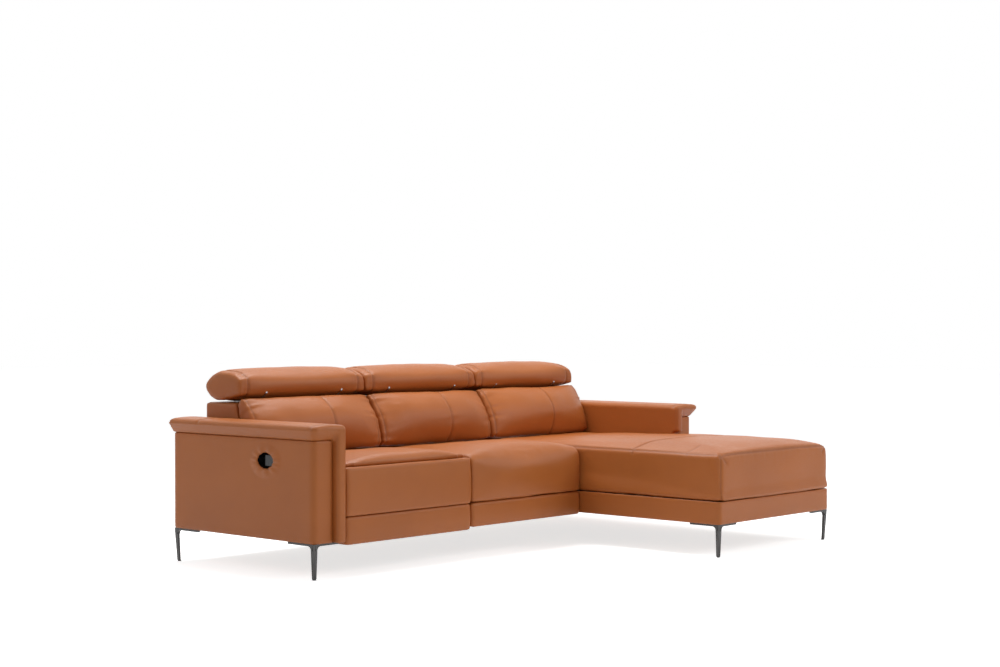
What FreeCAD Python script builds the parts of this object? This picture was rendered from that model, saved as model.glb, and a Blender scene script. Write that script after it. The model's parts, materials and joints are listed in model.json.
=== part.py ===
"""Leather corner sofa: two seats and a chaise, with one manual recliner and three folding headrests.

Millimetres, +Z up. The sofa faces -Y, its left arm is at -X and the chaise is at +X.
The origin is on the floor, at the middle of the footprint's bounding box.
Depths are measured backwards from the arms' front face, and y_at(depth) turns one into a Y.
"""

import math
import os

import FreeCAD
import Part

V = FreeCAD.Vector

# Overall layout
SEAT_WIDTH = 740.0
ARM_WIDTH = 155.0
ARM_DEPTH = 900.0
CHAISE_REACH = 795.0
LEG_HEIGHT = 143.0
SEAT_SEAM = 452.0
SEAT_CROWN = 20.0
SOFT_GAP = 1.5
REST_GAP = 0.3
TOUCH = 0.01

# Arms
ARM_CASE_WIDTH = 103.0
ARM_CASE_TOP = 553.0
CASE_WALL = 14.0
CASE_FLOOR = 7.0
CASE_CORNER = 24.0
LIP_OUT = 25.0
LIP_FRONT = 28.0
LIP_RISE = 41.0
LIP_TOP = 18.0
LIP_ROUND = 16.0
ARM_REAR_INSET = 3.0
TIMBER = 30.0
ARM_POSTS = (0.0, 0.18, 0.5, 0.75, 1.0)
CHAISE_ROLL_LIFT = 12.0

# Soft seats
SEAT_PROUD = 27.0
SEAT_EDGE_ROUND = 45.0
CHAISE_BULGE = 15.0
CHAISE_EDGE_ROUND = 20.0
FRONT_LEAN = 4.0
SEAT_END = 560.0
CROWN_END = 440.0
DRAW_IN = 12.0
DRAW_RUN = 14.0
EDGE_CROWN = 0.15
CROWN_STATIONS = ((0.16, 0.7), (0.36, 0.97))
DRAW_STEP = (0.25, 0.45)
ARC_STEPS = 7
BAND_PROUD = 22.0
BAND_BACK = 53.0
BAND_SEAM = 4.0
BAND_BOTTOM = 138.0
FOOTREST_BAND_BOTTOM = 128.0
CHAISE_BAND_WALL = 12.0
CHAISE_BAND_CORNER = 20.0
CHAISE_BAND_RETURN = 50.0

# Base frames
BASE_INSET = 2.0
DECK = 241.0
RAIL_THICK = 36.0
LOW_RAIL_TOP = 190.0
REAR_RAIL_SETBACK = 74.0
REAR_RAIL_TOP = 290.0
REAR_PANEL_THICK = 14.0
REAR_PANEL_TOP = 376.0
BATTEN_GAP = 245.0
STRAP_WIDTH = 50.0
STRAP_THICK = 2.0
STRAP_STEP = 105.0
LONG_STRAPS = (0.2, 0.5, 0.8)

# Backs
BACK_SETBACK = 30.0
BACK_BOTTOM = 395.0
BACK_TOP = 678.0
BACK_FOOT = 600.0
BACK_HEAD = 674.0
BACK_ROUND = 14.0
COVER_WALL = 12.0
BACK_POST = 24.0
BACK_POST_INNER = 51.0
BACK_LEG_DEPTH = 24.0
CUSHION_FOOT = 464.0
CUSHION_TOP = 700.0
CUSHION_FRONT_FOOT = 520.0
CUSHION_FRONT_HEAD = 612.0
CUSHION_BELLY = 14.0
CUSHION_CROWN = 44.0
CUSHION_TOE = 23.2

# Headrests
HINGE_SETBACK = 43.0
HINGE_HEIGHT = 722.0
HINGE_ROUND = 15.0
HINGE_SPREAD = 220.0
HINGE_PIN = 4.0
HINGE_EYE = 9.0
HINGE_LEAF = 4.0
HINGE_LAYER_GAP = 0.5
HINGE_SWEEP = 40.5
HEAD_REACH = (760.0, 748.0)
HEAD_LEAF_HALF = 7.0
HEAD_TOP = 815.0
HEAD_FLAT = 0.47
HEAD_TAIL = 0.152
HEAD_TAIL_RISE = 24.0
HEAD_CREST = 0.543
HEAD_SLOPE = 0.117
HEAD_SLOPE_DROP = 25.5
HEAD_BROW = 0.187
HEAD_BROW_DROP = 7.5
HEAD_GAP = 2.0
HEAD_DRAW = 18.0
HEAD_DRAW_RUN = 30.0
POCKET_GAP = 0.3
RUN_GAP = 0.05

# Recliner mechanism
PLATE_INSET = 46.0
PLATE_THICK = 4.0
PLATE_FLANGE = 30.0
LINK_THICK = 5.0
LAYER_GAP = 1.0
DRIVE = (150.0, 295.0)
DRIVE_RADIUS = 11.0
DRIVE_END_RADIUS = 8.0
DRIVE_BORE = 6.0
LINK_LOW = 190.0
LINK_LOW_ANGLE = -125.0
FOOTREST_PIVOT = (95.0, 321.0)
LINK_HALF = 11.0
LINK_PIN = 5.0
LINK_EYE_WALL = 6.0
LINK_EYE_LIP = 1.0
PIN_HEAD = 7.0
PIN_HEAD_THICK = 2.0
RECLINE = (640.0, 372.0)
RECLINE_PIN = 6.0
RECLINE_EYE = 16.0
RECLINE_REACH = (672.0, 540.0)
CHANNEL = (14.0, 44.0)
CHANNEL_WALL = 3.0
CHANNEL_FRONT = 330.0
GLIDE_HEIGHT = 16.0
GLIDE_LENGTH = 40.0
GLIDE_DEPTHS = (455.0, 625.0)
CROSS_RAILS = (330.0, 640.0)
CROSS_RAIL_DEEP = 40.0
SEAT_FRAME_BOTTOM = 325.0
SEAT_FRAME_TOP = 365.0
SEAT_FRAME_FRONT = 75.0
SEAT_FRAME_END = 600.0
SEAT_FRAME_SIDE = 4.0
FRONT_RAIL_THIN = 28.0
CUSHION_LIP = 441.0
CUSHION_BODY_FRONT = 68.0
FOOTREST_TOP = 434.0
FOOTREST_BACK = 48.0
FOOTREST_BOARD = 15.0
FOOTREST_BOARD_LOW = 140.0
FOOTREST_BOARD_HIGH = 425.0
BOARD_SIDE = 20.0

# Release handle
CUP_DEPTH = 291.0
CUP_HEIGHT = 462.0
CUP_HALF_LONG = 57.0
CUP_HALF_TALL = 39.0
CUP_END_RADIUS = 26.0
CUP_FLANGE = 6.0
CUP_FLANGE_THICK = 2.0
CUP_BOWL = 42.0
CUP_WALL = 2.5
CUP_HOLE_GAP = 0.3
LEVER_PIN = 3.0
LEVER_PIN_FRONT = 34.0
LEVER_PIN_IN = 16.0
LEVER_BARREL = 6.0
LEVER_HALF = 22.0
LEVER_REACH = 12.0
LEVER_THICK = 4.0
LUG = 3.0
CABLE_RADIUS = 3.0
CABLE_SIDES = 8
CABLE_LOW = 250.0
CABLE_BEND = 60.0
CABLE_INNER_BEND = 44.0
CABLE_CLEAR = 3.0
LATCH_HEIGHT = 47.0

# Legs
LEG_INSET = 6.0
WING_SIDE = 156.0
WING_FRONT = 132.0
WING_THICK = 14.0
WING_TIP = 8.0
WING_BEND = 18.0
WING_LAP = 2.0
POST_TOP = 20.0
POST_FOOT = 13.0
POST_SLANT = 8.0
POST_WALL = 7.0
LEG_PLATE = 86.0
LEG_PLATE_THICK = 4.0
FOOT_PAD = 5.0
FOOT_PAD_SIDE = 11.0
SUPPORT_SIDE = 40.0
LEG_SCREW = 2.5
LEG_SCREW_HEAD = 4.5
LEG_SCREW_HEAD_THICK = 3.0
LEG_SCREW_LENGTH = 28.0
LEG_SCREW_NEAR = 33.0
LEG_SCREW_FAR = 72.0
BOLT_RADIUS = 4.0
BOLT_HEAD = 7.0
BOLT_HEAD_THICK = 6.0
BOLT_FRONT_DEPTH = 120.0
BOLT_REAR_SETBACK = 46.0
SPACER_SIDE = 40.0

# Worked out from the sizes above
REAR_RAIL_FRONT = ARM_DEPTH - REAR_RAIL_SETBACK
BACK_REAR = ARM_DEPTH - BACK_SETBACK
HEAD_REAR = ARM_DEPTH - ARM_REAR_INSET
HINGE_DEPTH = CUSHION_FRONT_HEAD + HINGE_SETBACK
HALF_WIDTH = (3 * SEAT_WIDTH + 2 * ARM_WIDTH) / 2
INNER = HALF_WIDTH - ARM_WIDTH
Y_REAR = (ARM_DEPTH + CHAISE_REACH + CHAISE_BULGE) / 2
Y_ARM = Y_REAR - ARM_DEPTH
SEATS = [(-INNER + i * SEAT_WIDTH, -INNER + (i + 1) * SEAT_WIDTH) for i in range(3)]
LIP_Z = ARM_CASE_TOP + LIP_RISE
ARM_TOP = LIP_Z + LIP_TOP
BAND_TOP = DECK + STRAP_THICK + REST_GAP - BAND_SEAM
SEAT_BOTTOM = DECK + STRAP_THICK + REST_GAP
REAR_PANEL_FRONT = REAR_RAIL_FRONT + RAIL_THICK
BACK_SLOPE = (BACK_HEAD - BACK_FOOT) / (BACK_TOP - BACK_BOTTOM)
LINK_LOW_PIN = (
    DRIVE[0] - LINK_LOW * math.cos(math.radians(LINK_LOW_ANGLE)),
    DRIVE[1] + LINK_LOW * math.sin(math.radians(LINK_LOW_ANGLE)),
)
LAYER_LOW = PLATE_INSET + PLATE_THICK + LAYER_GAP
LAYER_HIGH = LAYER_LOW + LINK_THICK + LAYER_GAP
LAYER_BRACKET = LAYER_HIGH + LINK_THICK + LAYER_GAP


def y_at(depth):
    """The Y of a point that lies depth behind the arms' front face."""
    return Y_ARM + depth


def block(x0, x1, d0, d1, z0, z1):
    """A box between two X, two depths and two heights."""
    return Part.makeBox(x1 - x0, d1 - d0, z1 - z0, V(x0, y_at(d0), z0))


def bar_x(x0, x1, centre, radius):
    """A round bar along X, with its centre at (depth, height)."""
    return Part.makeCylinder(radius, x1 - x0, V(x0, y_at(centre[0]), centre[1]), V(1, 0, 0))


def bar_z(x, depth, z0, z1, radius):
    """A round bar along Z."""
    return Part.makeCylinder(radius, z1 - z0, V(x, y_at(depth), z0), V(0, 0, 1))


def flat_sided(centre, radius, sides, to_vector):
    """A closed wire with equal sides, where radius is the distance to a side's middle."""
    corner = radius / math.cos(math.pi / sides)
    angles = [2 * math.pi * (i + 0.5) / sides for i in range(sides)]
    points = [(centre[0] + corner * math.cos(t), centre[1] + corner * math.sin(t)) for t in angles]
    return outline(points, to_vector)


def sided_bar_x(x0, x1, centre, radius, sides=8):
    """A flat-sided bar along X, with its centre at (depth, height)."""
    wire = flat_sided(centre, radius, sides, lambda depth, z: V(x0, y_at(depth), z))
    return Part.Face(wire).extrude(V(x1 - x0, 0, 0))


def sided_bar_z(x, y, z0, z1, radius, sides=8):
    """A flat-sided bar along Z."""
    wire = flat_sided((x, y), radius, sides, lambda a, b: V(a, b, z0))
    return Part.Face(wire).extrude(V(0, 0, z1 - z0))


def outline(points, to_vector):
    """A closed wire. (a, b) is reached by a line, and (a, b, mid_a, mid_b) by an arc through mid."""
    edges = []
    start = points[-1]
    for point in points:
        first = to_vector(start[0], start[1])
        last = to_vector(point[0], point[1])
        if len(point) == 4:
            edges.append(Part.Arc(first, to_vector(point[2], point[3]), last).toShape())
        else:
            edges.append(Part.LineSegment(first, last).toShape())
        start = point
    return Part.Wire(edges)


def side_wire(points, x):
    """A closed wire in the plane X = x, from (depth, height) points."""
    return outline(points, lambda depth, z: V(x, y_at(depth), z))


def plan_wire(points, z):
    """A closed wire in the plane Z = z, from (x, depth) points."""
    return outline(points, lambda x, depth: V(x, y_at(depth), z))


def side_plate(points, x0, x1):
    """A plate with a side outline, from x0 to x1."""
    return Part.Face(side_wire(points, x0)).extrude(V(x1 - x0, 0, 0))


def plan_plate(points, z0, z1):
    """A plate with a plan outline, from z0 to z1."""
    return Part.Face(plan_wire(points, z0)).extrude(V(0, 0, z1 - z0))


def link_plate(x0, x1, start, end, half, start_radius, end_radius, boss=bar_x):
    """A flat link between two (depth, height) pivots, with a boss at each end."""
    length = math.dist(start, end)
    across = (-(end[1] - start[1]) * half / length, (end[0] - start[0]) * half / length)
    corners = [
        (start[0] + across[0], start[1] + across[1]),
        (end[0] + across[0], end[1] + across[1]),
        (end[0] - across[0], end[1] - across[1]),
        (start[0] - across[0], start[1] - across[1]),
    ]
    ends = [boss(x0, x1, start, start_radius), boss(x0, x1, end, end_radius)]
    return side_plate(corners, x0, x1).fuse(ends).removeSplitter()


def mirrored(shape, x_middle=0.0):
    """The shape mirrored across the plane X = x_middle."""
    return shape.mirror(V(x_middle, 0, 0), V(1, 0, 0))


def both_sides(shapes, x_middle):
    """One group of separate solids: the shapes and their mirror images."""
    return Part.makeCompound(list(shapes) + [mirrored(s, x_middle) for s in shapes])


def soft_loft(x0, x1, profile, draw=DRAW_IN, run=DRAW_RUN, crowns=CROWN_STATIONS):
    """A flat-faced cushion along X: drawn in at both ends and crowned in the middle.

    profile(inset, crown) is the side outline of one station.
    """
    half = [(0.0, draw, 0.0), (DRAW_STEP[0] * run, DRAW_STEP[1] * draw, 0.0)]
    half.append((run, 0.0, EDGE_CROWN))
    half += [(share * (x1 - x0), 0.0, crown) for share, crown in crowns]
    stations = [(x0 + offset, inset, crown) for offset, inset, crown in half]
    stations += [(x1 - offset, inset, crown) for offset, inset, crown in reversed(half)]
    rings = [
        stepped(profile(inset, crown), lambda depth, z, x=x: V(x, y_at(depth), z))
        for x, inset, crown in stations
    ]
    return flat_faced(rings)


def stepped(points, to_vector):
    """The points of an outline, with each of its arcs taken in ARC_STEPS straight steps."""
    corners = []
    start = points[-1]
    for point in points:
        last = to_vector(point[0], point[1])
        if len(point) == 4:
            first = to_vector(start[0], start[1])
            arc = Part.Arc(first, to_vector(point[2], point[3]), last).toShape()
            corners += arc.discretize(ARC_STEPS + 1)[1:]
        else:
            corners.append(last)
        start = point
    return corners


def flat_faced(rings):
    """A closed solid of flat faces through rings that have the same number of points."""
    faces = [Part.Face(Part.makePolygon(ring + [ring[0]])) for ring in (rings[0], rings[-1])]
    for near, far in zip(rings, rings[1:]):
        for i in range(len(near)):
            a, b, c, d = near[i - 1], near[i], far[i], far[i - 1]
            faces.append(Part.Face(Part.makePolygon([a, b, c, a])))
            faces.append(Part.Face(Part.makePolygon([a, c, d, a])))
    shell = Part.Shell(faces)
    shell.sewShape()
    solid = Part.Solid(shell)
    if solid.Volume < 0:
        solid.reverse()
    return solid.removeSplitter()


# Arms


def arm_case():
    """The upholstered outer box of the left arm, open towards the inner pad."""
    x0 = -HALF_WIDTH
    x1 = x0 + ARM_CASE_WIDTH
    outer = block(x0, x1, 0, ARM_DEPTH, LEG_HEIGHT, ARM_CASE_TOP)
    corners = [
        e
        for e in outer.Edges
        if e.BoundBox.ZLength > CASE_CORNER and abs(e.CenterOfMass.x - x0) < 1
    ]
    outer = outer.makeFillet(CASE_CORNER, corners)
    return outer.cut(arm_hollow(x1 + 1))


def arm_hollow(x1):
    """The space inside the case, from its outer wall to x1."""
    return block(
        -HALF_WIDTH + CASE_WALL,
        x1,
        CASE_WALL,
        ARM_DEPTH - CASE_WALL,
        LEG_HEIGHT + CASE_FLOOR,
        ARM_CASE_TOP - CASE_FLOOR,
    )


def arm_frame():
    """The timber ladder inside the left arm: two rails and the posts between them."""
    x0 = -HALF_WIDTH + CASE_WALL
    x1 = -HALF_WIDTH + ARM_CASE_WIDTH
    low = LEG_HEIGHT + CASE_FLOOR
    high = ARM_CASE_TOP - CASE_FLOOR
    front = CASE_WALL
    back = ARM_DEPTH - CASE_WALL
    pieces = [
        block(x0, x1, front, back, low, low + TIMBER),
        block(x0, x1, front, back, high - TIMBER, high),
    ]
    for share in ARM_POSTS:
        d0 = front + share * (back - front - TIMBER)
        pieces.append(block(x0, x1, d0, d0 + TIMBER, low + TIMBER, high - TIMBER))
    return pieces


def lip_plan(out, forward, corner):
    """Plan outline of the arm's top pad: round at the front, square at the rear."""
    x0 = -HALF_WIDTH - out
    x1 = -INNER
    rear = ARM_DEPTH - ARM_REAR_INSET
    k = corner * (1 - math.sqrt(0.5))
    inner = LIP_ROUND
    m = inner * (1 - math.sqrt(0.5))
    return [
        (x0, -forward + corner),
        (x0 + corner, -forward, x0 + k, -forward + k),
        (x1 - inner, -forward),
        (x1, -forward + inner, x1 - m, -forward + m),
        (x1, rear),
        (x0, rear),
    ]


def arm_pad(roll_bottom):
    """The left arm's inner pad, with its lip over the case and the roll down its front."""
    x1 = -INNER
    x0 = x1 - (ARM_WIDTH - ARM_CASE_WIDTH)
    rear = ARM_DEPTH - ARM_REAR_INSET
    under = Part.makeLoft(
        [
            plan_wire(lip_plan(0, 0, CASE_CORNER), ARM_CASE_TOP),
            plan_wire(lip_plan(LIP_OUT, LIP_FRONT, CASE_CORNER), LIP_Z),
        ],
        True,
        True,
    )
    top = plan_plate(lip_plan(LIP_OUT, LIP_FRONT, CASE_CORNER), LIP_Z, ARM_TOP)
    ring = [e for e in top.Edges if abs(e.BoundBox.ZMin - ARM_TOP) < TOUCH]
    top = top.makeFillet(LIP_ROUND, ring)
    k = LIP_ROUND * (1 - math.sqrt(0.5))
    roll_plan = [
        (x0, -LIP_FRONT + LIP_ROUND),
        (x0 + LIP_ROUND, -LIP_FRONT, x0 + k, -LIP_FRONT + k),
        (x1 - LIP_ROUND, -LIP_FRONT),
        (x1, -LIP_FRONT + LIP_ROUND, x1 - k, -LIP_FRONT + k),
        (x1, 0),
        (x0, 0),
    ]
    roll = plan_plate(roll_plan, roll_bottom, LIP_Z)
    inner = block(x0, x1, 0, rear, LEG_HEIGHT, ARM_CASE_TOP + LIP_RISE / 2)
    return under.fuse([top, inner, roll]).removeSplitter()


def make_arms():
    """Both arms. The left one has the oval hole for the release cup and the cable's way out."""
    cup_hole = oval(CUP_HOLE_GAP, -HALF_WIDTH - 1).extrude(V(CASE_WALL + 2, 0, 0))
    way_out = block(
        -INNER - (ARM_WIDTH - ARM_CASE_WIDTH) - 1,
        -INNER + 1,
        CUP_DEPTH - CABLE_RADIUS - CABLE_CLEAR,
        CUP_DEPTH + CABLE_INNER_BEND / 2,
        CABLE_LOW - CABLE_RADIUS - CABLE_CLEAR,
        CABLE_LOW + CABLE_RADIUS + CABLE_CLEAR,
    )
    roll_on_chaise = SEAT_SEAM + SEAT_CROWN + CHAISE_ROLL_LIFT
    return {
        "left_arm_frame": Part.makeCompound(arm_frame()),
        "left_arm_panel": arm_case().cut(cup_hole),
        "left_arm_pad": arm_pad(LEG_HEIGHT).cut(way_out),
        "right_arm_frame": mirrored(Part.makeCompound(arm_frame())),
        "right_arm_panel": mirrored(arm_case()),
        "right_arm_pad": mirrored(arm_pad(roll_on_chaise)),
    }


# Release handle


def oval(grow, x):
    """The oval of the release cup, grown outwards by grow: two end arcs and two flatter ones."""
    a = CUP_HALF_LONG
    b = CUP_HALF_TALL
    r = CUP_END_RADIUS
    flat = (a * a + b * b - 2 * a * r) / (2 * (b - r))
    slope = math.atan2(flat - b, a - r)
    end = r + grow
    across = a - r + end * math.cos(slope)
    up = end * math.sin(slope)
    points = [
        (CUP_DEPTH + across, CUP_HEIGHT + up, CUP_DEPTH + a + grow, CUP_HEIGHT),
        (CUP_DEPTH - across, CUP_HEIGHT + up, CUP_DEPTH, CUP_HEIGHT + b + grow),
        (CUP_DEPTH - across, CUP_HEIGHT - up, CUP_DEPTH - a - grow, CUP_HEIGHT),
        (CUP_DEPTH + across, CUP_HEIGHT - up, CUP_DEPTH, CUP_HEIGHT - b - grow),
    ]
    corners = stepped(points, lambda depth, z: V(x, y_at(depth), z))
    return Part.Face(Part.makePolygon(corners + [corners[0]]))


def release_cup():
    """The oval cup with its flange, the two lugs for the lever's pin, the pin and the cable gland."""
    face = -HALF_WIDTH
    front = face - CUP_FLANGE_THICK
    flange = oval(CUP_FLANGE, front).extrude(V(CUP_FLANGE_THICK, 0, 0))
    bowl = oval(0, front).extrude(V(CUP_BOWL + CUP_FLANGE_THICK, 0, 0))
    hollow = oval(-CUP_WALL, front - 1).extrude(V(CUP_BOWL + CUP_FLANGE_THICK + 1 - CUP_WALL, 0, 0))
    pin_x = face + LEVER_PIN_IN
    pin_depth = CUP_DEPTH - LEVER_PIN_FRONT
    lugs = [
        block(
            pin_x - LEVER_BARREL,
            face + CUP_BOWL,
            pin_depth - LEVER_BARREL,
            pin_depth + LEVER_BARREL,
            z,
            z + LUG,
        ).common(bowl)
        for z in (CUP_HEIGHT - LEVER_HALF - LUG, CUP_HEIGHT + LEVER_HALF)
    ]
    gland_x = face + CUP_BOWL - 2 * CABLE_RADIUS - LUG
    gland_low = CUP_HEIGHT - CUP_HALF_TALL - 3 * CABLE_RADIUS
    gland = sided_bar_z(
        gland_x, y_at(CUP_DEPTH), gland_low, CUP_HEIGHT, 2 * CABLE_RADIUS
    ).cut(bowl)
    cup = flange.fuse(bowl).cut(hollow).fuse(lugs + [gland]).removeSplitter()
    pin = bar_z(
        pin_x,
        pin_depth,
        CUP_HEIGHT - LEVER_HALF - LUG,
        CUP_HEIGHT + LEVER_HALF + LUG,
        LEVER_PIN,
    )
    return Part.makeCompound([cup.cut(pin), pin])


def release_lever():
    """The pull lever: a barrel on the pin and a flat paddle with a hooked end."""
    pin_x = -HALF_WIDTH + LEVER_PIN_IN
    pin_depth = CUP_DEPTH - LEVER_PIN_FRONT
    low = CUP_HEIGHT - LEVER_HALF + HINGE_LAYER_GAP
    high = CUP_HEIGHT + LEVER_HALF - HINGE_LAYER_GAP
    x0 = pin_x - LEVER_BARREL
    end = CUP_DEPTH + LEVER_REACH
    barrel = sided_bar_z(pin_x, y_at(pin_depth), low, high, LEVER_BARREL)
    paddle = block(x0, x0 + LEVER_THICK, pin_depth, end, low, high)
    hook = block(x0, x0 + 2 * LEVER_THICK, end - LEVER_THICK, end, low, high)
    bore = bar_z(pin_x, pin_depth, low - 1, high + 1, LEVER_PIN + RUN_GAP)
    return barrel.fuse([paddle, hook]).removeSplitter().cut(bore)


def release_cable():
    """The cable: down inside the arm, a quarter turn inwards and a quarter turn back to the latch."""
    x_drop = -HALF_WIDTH + CUP_BOWL - 2 * CABLE_RADIUS - LUG
    x_latch = SEATS[0][0] + (CHANNEL[0] + CHANNEL[1]) / 2
    top = CUP_HEIGHT - CUP_HALF_TALL - 3 * CABLE_RADIUS
    low = CABLE_LOW
    y0 = y_at(CUP_DEPTH)
    r1 = CABLE_BEND
    r2 = CABLE_INNER_BEND
    y_end = y_at(latch_face())
    rings = [cable_ring(V(x_drop, y0, top), V(0, 1, 0), V(1, 0, 0))]
    for step in range(ARC_STEPS + 1):
        t = math.pi / 2 * step / ARC_STEPS
        centre = V(x_drop + r1 * (1 - math.cos(t)), y0, low + r1 * (1 - math.sin(t)))
        rings.append(cable_ring(centre, V(0, 1, 0), V(math.cos(t), 0, math.sin(t))))
    for step in range(ARC_STEPS + 1):
        t = math.pi / 2 * step / ARC_STEPS
        centre = V(x_latch - r2 + r2 * math.sin(t), y0 + r2 * (1 - math.cos(t)), low)
        rings.append(cable_ring(centre, V(-math.sin(t), math.cos(t), 0), V(0, 0, 1)))
    rings.append(cable_ring(V(x_latch, y_end, low), V(-1, 0, 0), V(0, 0, 1)))
    return flat_faced(rings)


def cable_ring(centre, across, up):
    """Points round the cable's centre line, in the plane of two unit vectors."""
    angles = [2 * math.pi * i / CABLE_SIDES for i in range(CABLE_SIDES)]
    return [
        centre + across * (CABLE_RADIUS * math.cos(t)) + up * (CABLE_RADIUS * math.sin(t))
        for t in angles
    ]


def latch_face():
    """Depth of the latch's front face, where the cable ends."""
    return CHANNEL_FRONT + GLIDE_LENGTH / 4


def release_latch():
    """The latch that the cable pulls: a foot on the channel, an upright and the pawl behind it."""
    x0 = SEATS[0][0] + CHANNEL[0]
    x1 = SEATS[0][0] + CHANNEL[1] - LUG
    front = latch_face()
    foot_z = channel_top()
    foot = block(x0, x1, CHANNEL_FRONT, front + LUG, foot_z, foot_z + LUG)
    upright = block(x0, x1, front, front + LUG, foot_z, foot_z + LATCH_HEIGHT)
    pawl = block(
        x0 + 3 * LUG,
        x1 + LUG,
        front + LUG,
        front + 6 * LUG,
        CABLE_LOW - 3 * LUG,
        CABLE_LOW + LUG,
    )
    return foot.fuse([upright, pawl]).removeSplitter()


# Seats


def seat_outline(front, edge_round, inset, crown):
    """Side outline of a boxed seat cushion, with a rounded front edge and a crowned top."""
    face = front + inset + FRONT_LEAN
    top = SEAT_SEAM + SEAT_CROWN * crown - inset / 2
    rear = SEAT_SEAM - inset / 2
    shoulder = top - edge_round
    k = edge_round * (1 - math.sqrt(0.5))
    middle = (SEAT_BOTTOM + shoulder) / 2
    crown_middle = (front + CROWN_END) / 2
    return [
        (face, SEAT_BOTTOM),
        (face, shoulder, face - FRONT_LEAN, middle),
        (face + edge_round, top, face + k, top - k),
        (CROWN_END, rear, crown_middle, top + FRONT_LEAN),
        (SEAT_END, rear),
        (SEAT_END, SEAT_BOTTOM),
    ]


def recliner_outline(inset, crown):
    """Side outline of the recliner's cushion: a thin lip over the footrest and a deep body behind."""
    front = -SEAT_PROUD
    face = front + inset + FRONT_LEAN
    top = SEAT_SEAM + SEAT_CROWN * crown - inset / 2
    rear = SEAT_SEAM - inset / 2
    radius = SEAT_EDGE_ROUND
    low = CUSHION_LIP
    centre = (face + radius, top - radius)
    start_angle = math.asin((low - centre[1]) / radius)
    middle_angle = (start_angle + math.pi / 2) / 2
    crown_middle = (front + CROWN_END) / 2
    body = SEAT_FRAME_TOP + 2 * STRAP_THICK
    return [
        (centre[0] - radius * math.cos(start_angle), low),
        (
            centre[0],
            top,
            centre[0] - radius * math.cos(middle_angle),
            centre[1] + radius * math.sin(middle_angle),
        ),
        (CROWN_END, rear, crown_middle, top + FRONT_LEAN),
        (SEAT_END, rear),
        (SEAT_END, body),
        (CUSHION_BODY_FRONT, body),
        (CUSHION_BODY_FRONT, low),
    ]


def band_outline(low, high, back, inset):
    """Side outline of a padded front: a flat back and a softly rounded face."""
    face = -BAND_PROUD + inset
    middle = (low + high) / 2
    return [
        (face + FRONT_LEAN, low + inset / 2),
        (face + FRONT_LEAN, high - inset / 2, face, middle),
        (back, high - inset / 2),
        (back, low + inset / 2),
    ]


def footrest_pad_outline(inset):
    """Side outline of the footrest's upper pad, in line with the seat cushion beside it."""
    face = -SEAT_PROUD + inset + FRONT_LEAN
    low = SEAT_BOTTOM
    high = FOOTREST_TOP - inset / 2
    return [
        (face, low),
        (face + FRONT_LEAN, high, face - FRONT_LEAN, (low + high) / 2),
        (FOOTREST_BACK, high),
        (FOOTREST_BACK, low),
    ]


def make_seats():
    """The three seat cushions, the bands below them and the footrest's pad and band."""
    first, second, third = SEATS
    x1 = HALF_WIDTH
    chaise = soft_loft(
        third[0] + SOFT_GAP,
        x1,
        lambda inset, crown: seat_outline(
            -CHAISE_REACH - CHAISE_BULGE, CHAISE_EDGE_ROUND, inset, crown
        ),
    )
    arm_room = block(
        third[1] - SOFT_GAP,
        x1 + LIP_OUT,
        -SOFT_GAP,
        SEAT_END + 1,
        SEAT_BOTTOM - 1,
        ARM_TOP,
    )
    return {
        "seat_1_cushion": soft_loft(first[0] + SOFT_GAP, first[1] - SOFT_GAP, recliner_outline),
        "footrest_pad": soft_loft(
            first[0] + SOFT_GAP,
            first[1] - SOFT_GAP,
            lambda inset, crown: footrest_pad_outline(inset),
            crowns=(),
        ),
        "footrest_band": soft_loft(
            first[0] + SOFT_GAP,
            first[1] - SOFT_GAP,
            lambda inset, crown: band_outline(
                FOOTREST_BAND_BOTTOM, BAND_TOP, FOOTREST_BACK, inset
            ),
            crowns=(),
        ),
        "seat_2_cushion": soft_loft(
            second[0] + SOFT_GAP,
            second[1] - SOFT_GAP,
            lambda inset, crown: seat_outline(-SEAT_PROUD, SEAT_EDGE_ROUND, inset, crown),
        ),
        "seat_2_band": soft_loft(
            second[0] + SOFT_GAP,
            second[1] - SOFT_GAP,
            lambda inset, crown: band_outline(BAND_BOTTOM, BAND_TOP, BAND_BACK, inset),
            crowns=(),
        ),
        "chaise_cushion": chaise.cut(arm_room),
        "chaise_base_band": chaise_band(),
    }


def chaise_band():
    """The upholstered band round the chaise's base: its front, its outer side and a short return."""
    x0 = SEATS[2][0] + SOFT_GAP
    x1 = HALF_WIDTH
    front = -CHAISE_REACH
    wall = CHAISE_BAND_WALL
    outer = CHAISE_BAND_CORNER
    k = outer * (1 - math.sqrt(0.5))
    points = [
        (x0, front + outer),
        (x0 + outer, front, x0 + k, front + k),
        (x1 - outer, front),
        (x1, front + outer, x1 - k, front + k),
        (x1, -SOFT_GAP),
        (x1 - wall, -SOFT_GAP),
        (x1 - wall, front + wall),
        (x0 + wall, front + wall),
        (x0 + wall, CHAISE_BAND_RETURN),
        (x0, CHAISE_BAND_RETURN),
    ]
    return plan_plate(points, LEG_HEIGHT, BAND_TOP)


# Base frames


def battens(x0, x1, d0, d1, z0, z1):
    """Cross battens that leave no gap over BATTEN_GAP between two depths."""
    count = math.ceil((d1 - d0) / (BATTEN_GAP + RAIL_THICK)) - 1
    gap = (d1 - d0 - count * RAIL_THICK) / (count + 1)
    pieces = []
    for i in range(count):
        start = d0 + gap + i * (gap + RAIL_THICK)
        pieces.append(block(x0, x1, start, start + RAIL_THICK, z0, z1))
    return pieces


def straps(x0, x1, d0, d1, z):
    """Elastic webbing straps along X, spread evenly between two depths."""
    count = round((d1 - d0) / STRAP_STEP)
    step = (d1 - d0 - STRAP_WIDTH) / (count - 1)
    return [
        block(x0, x1, d0 + i * step, d0 + i * step + STRAP_WIDTH, z, z + STRAP_THICK)
        for i in range(count)
    ]


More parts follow.
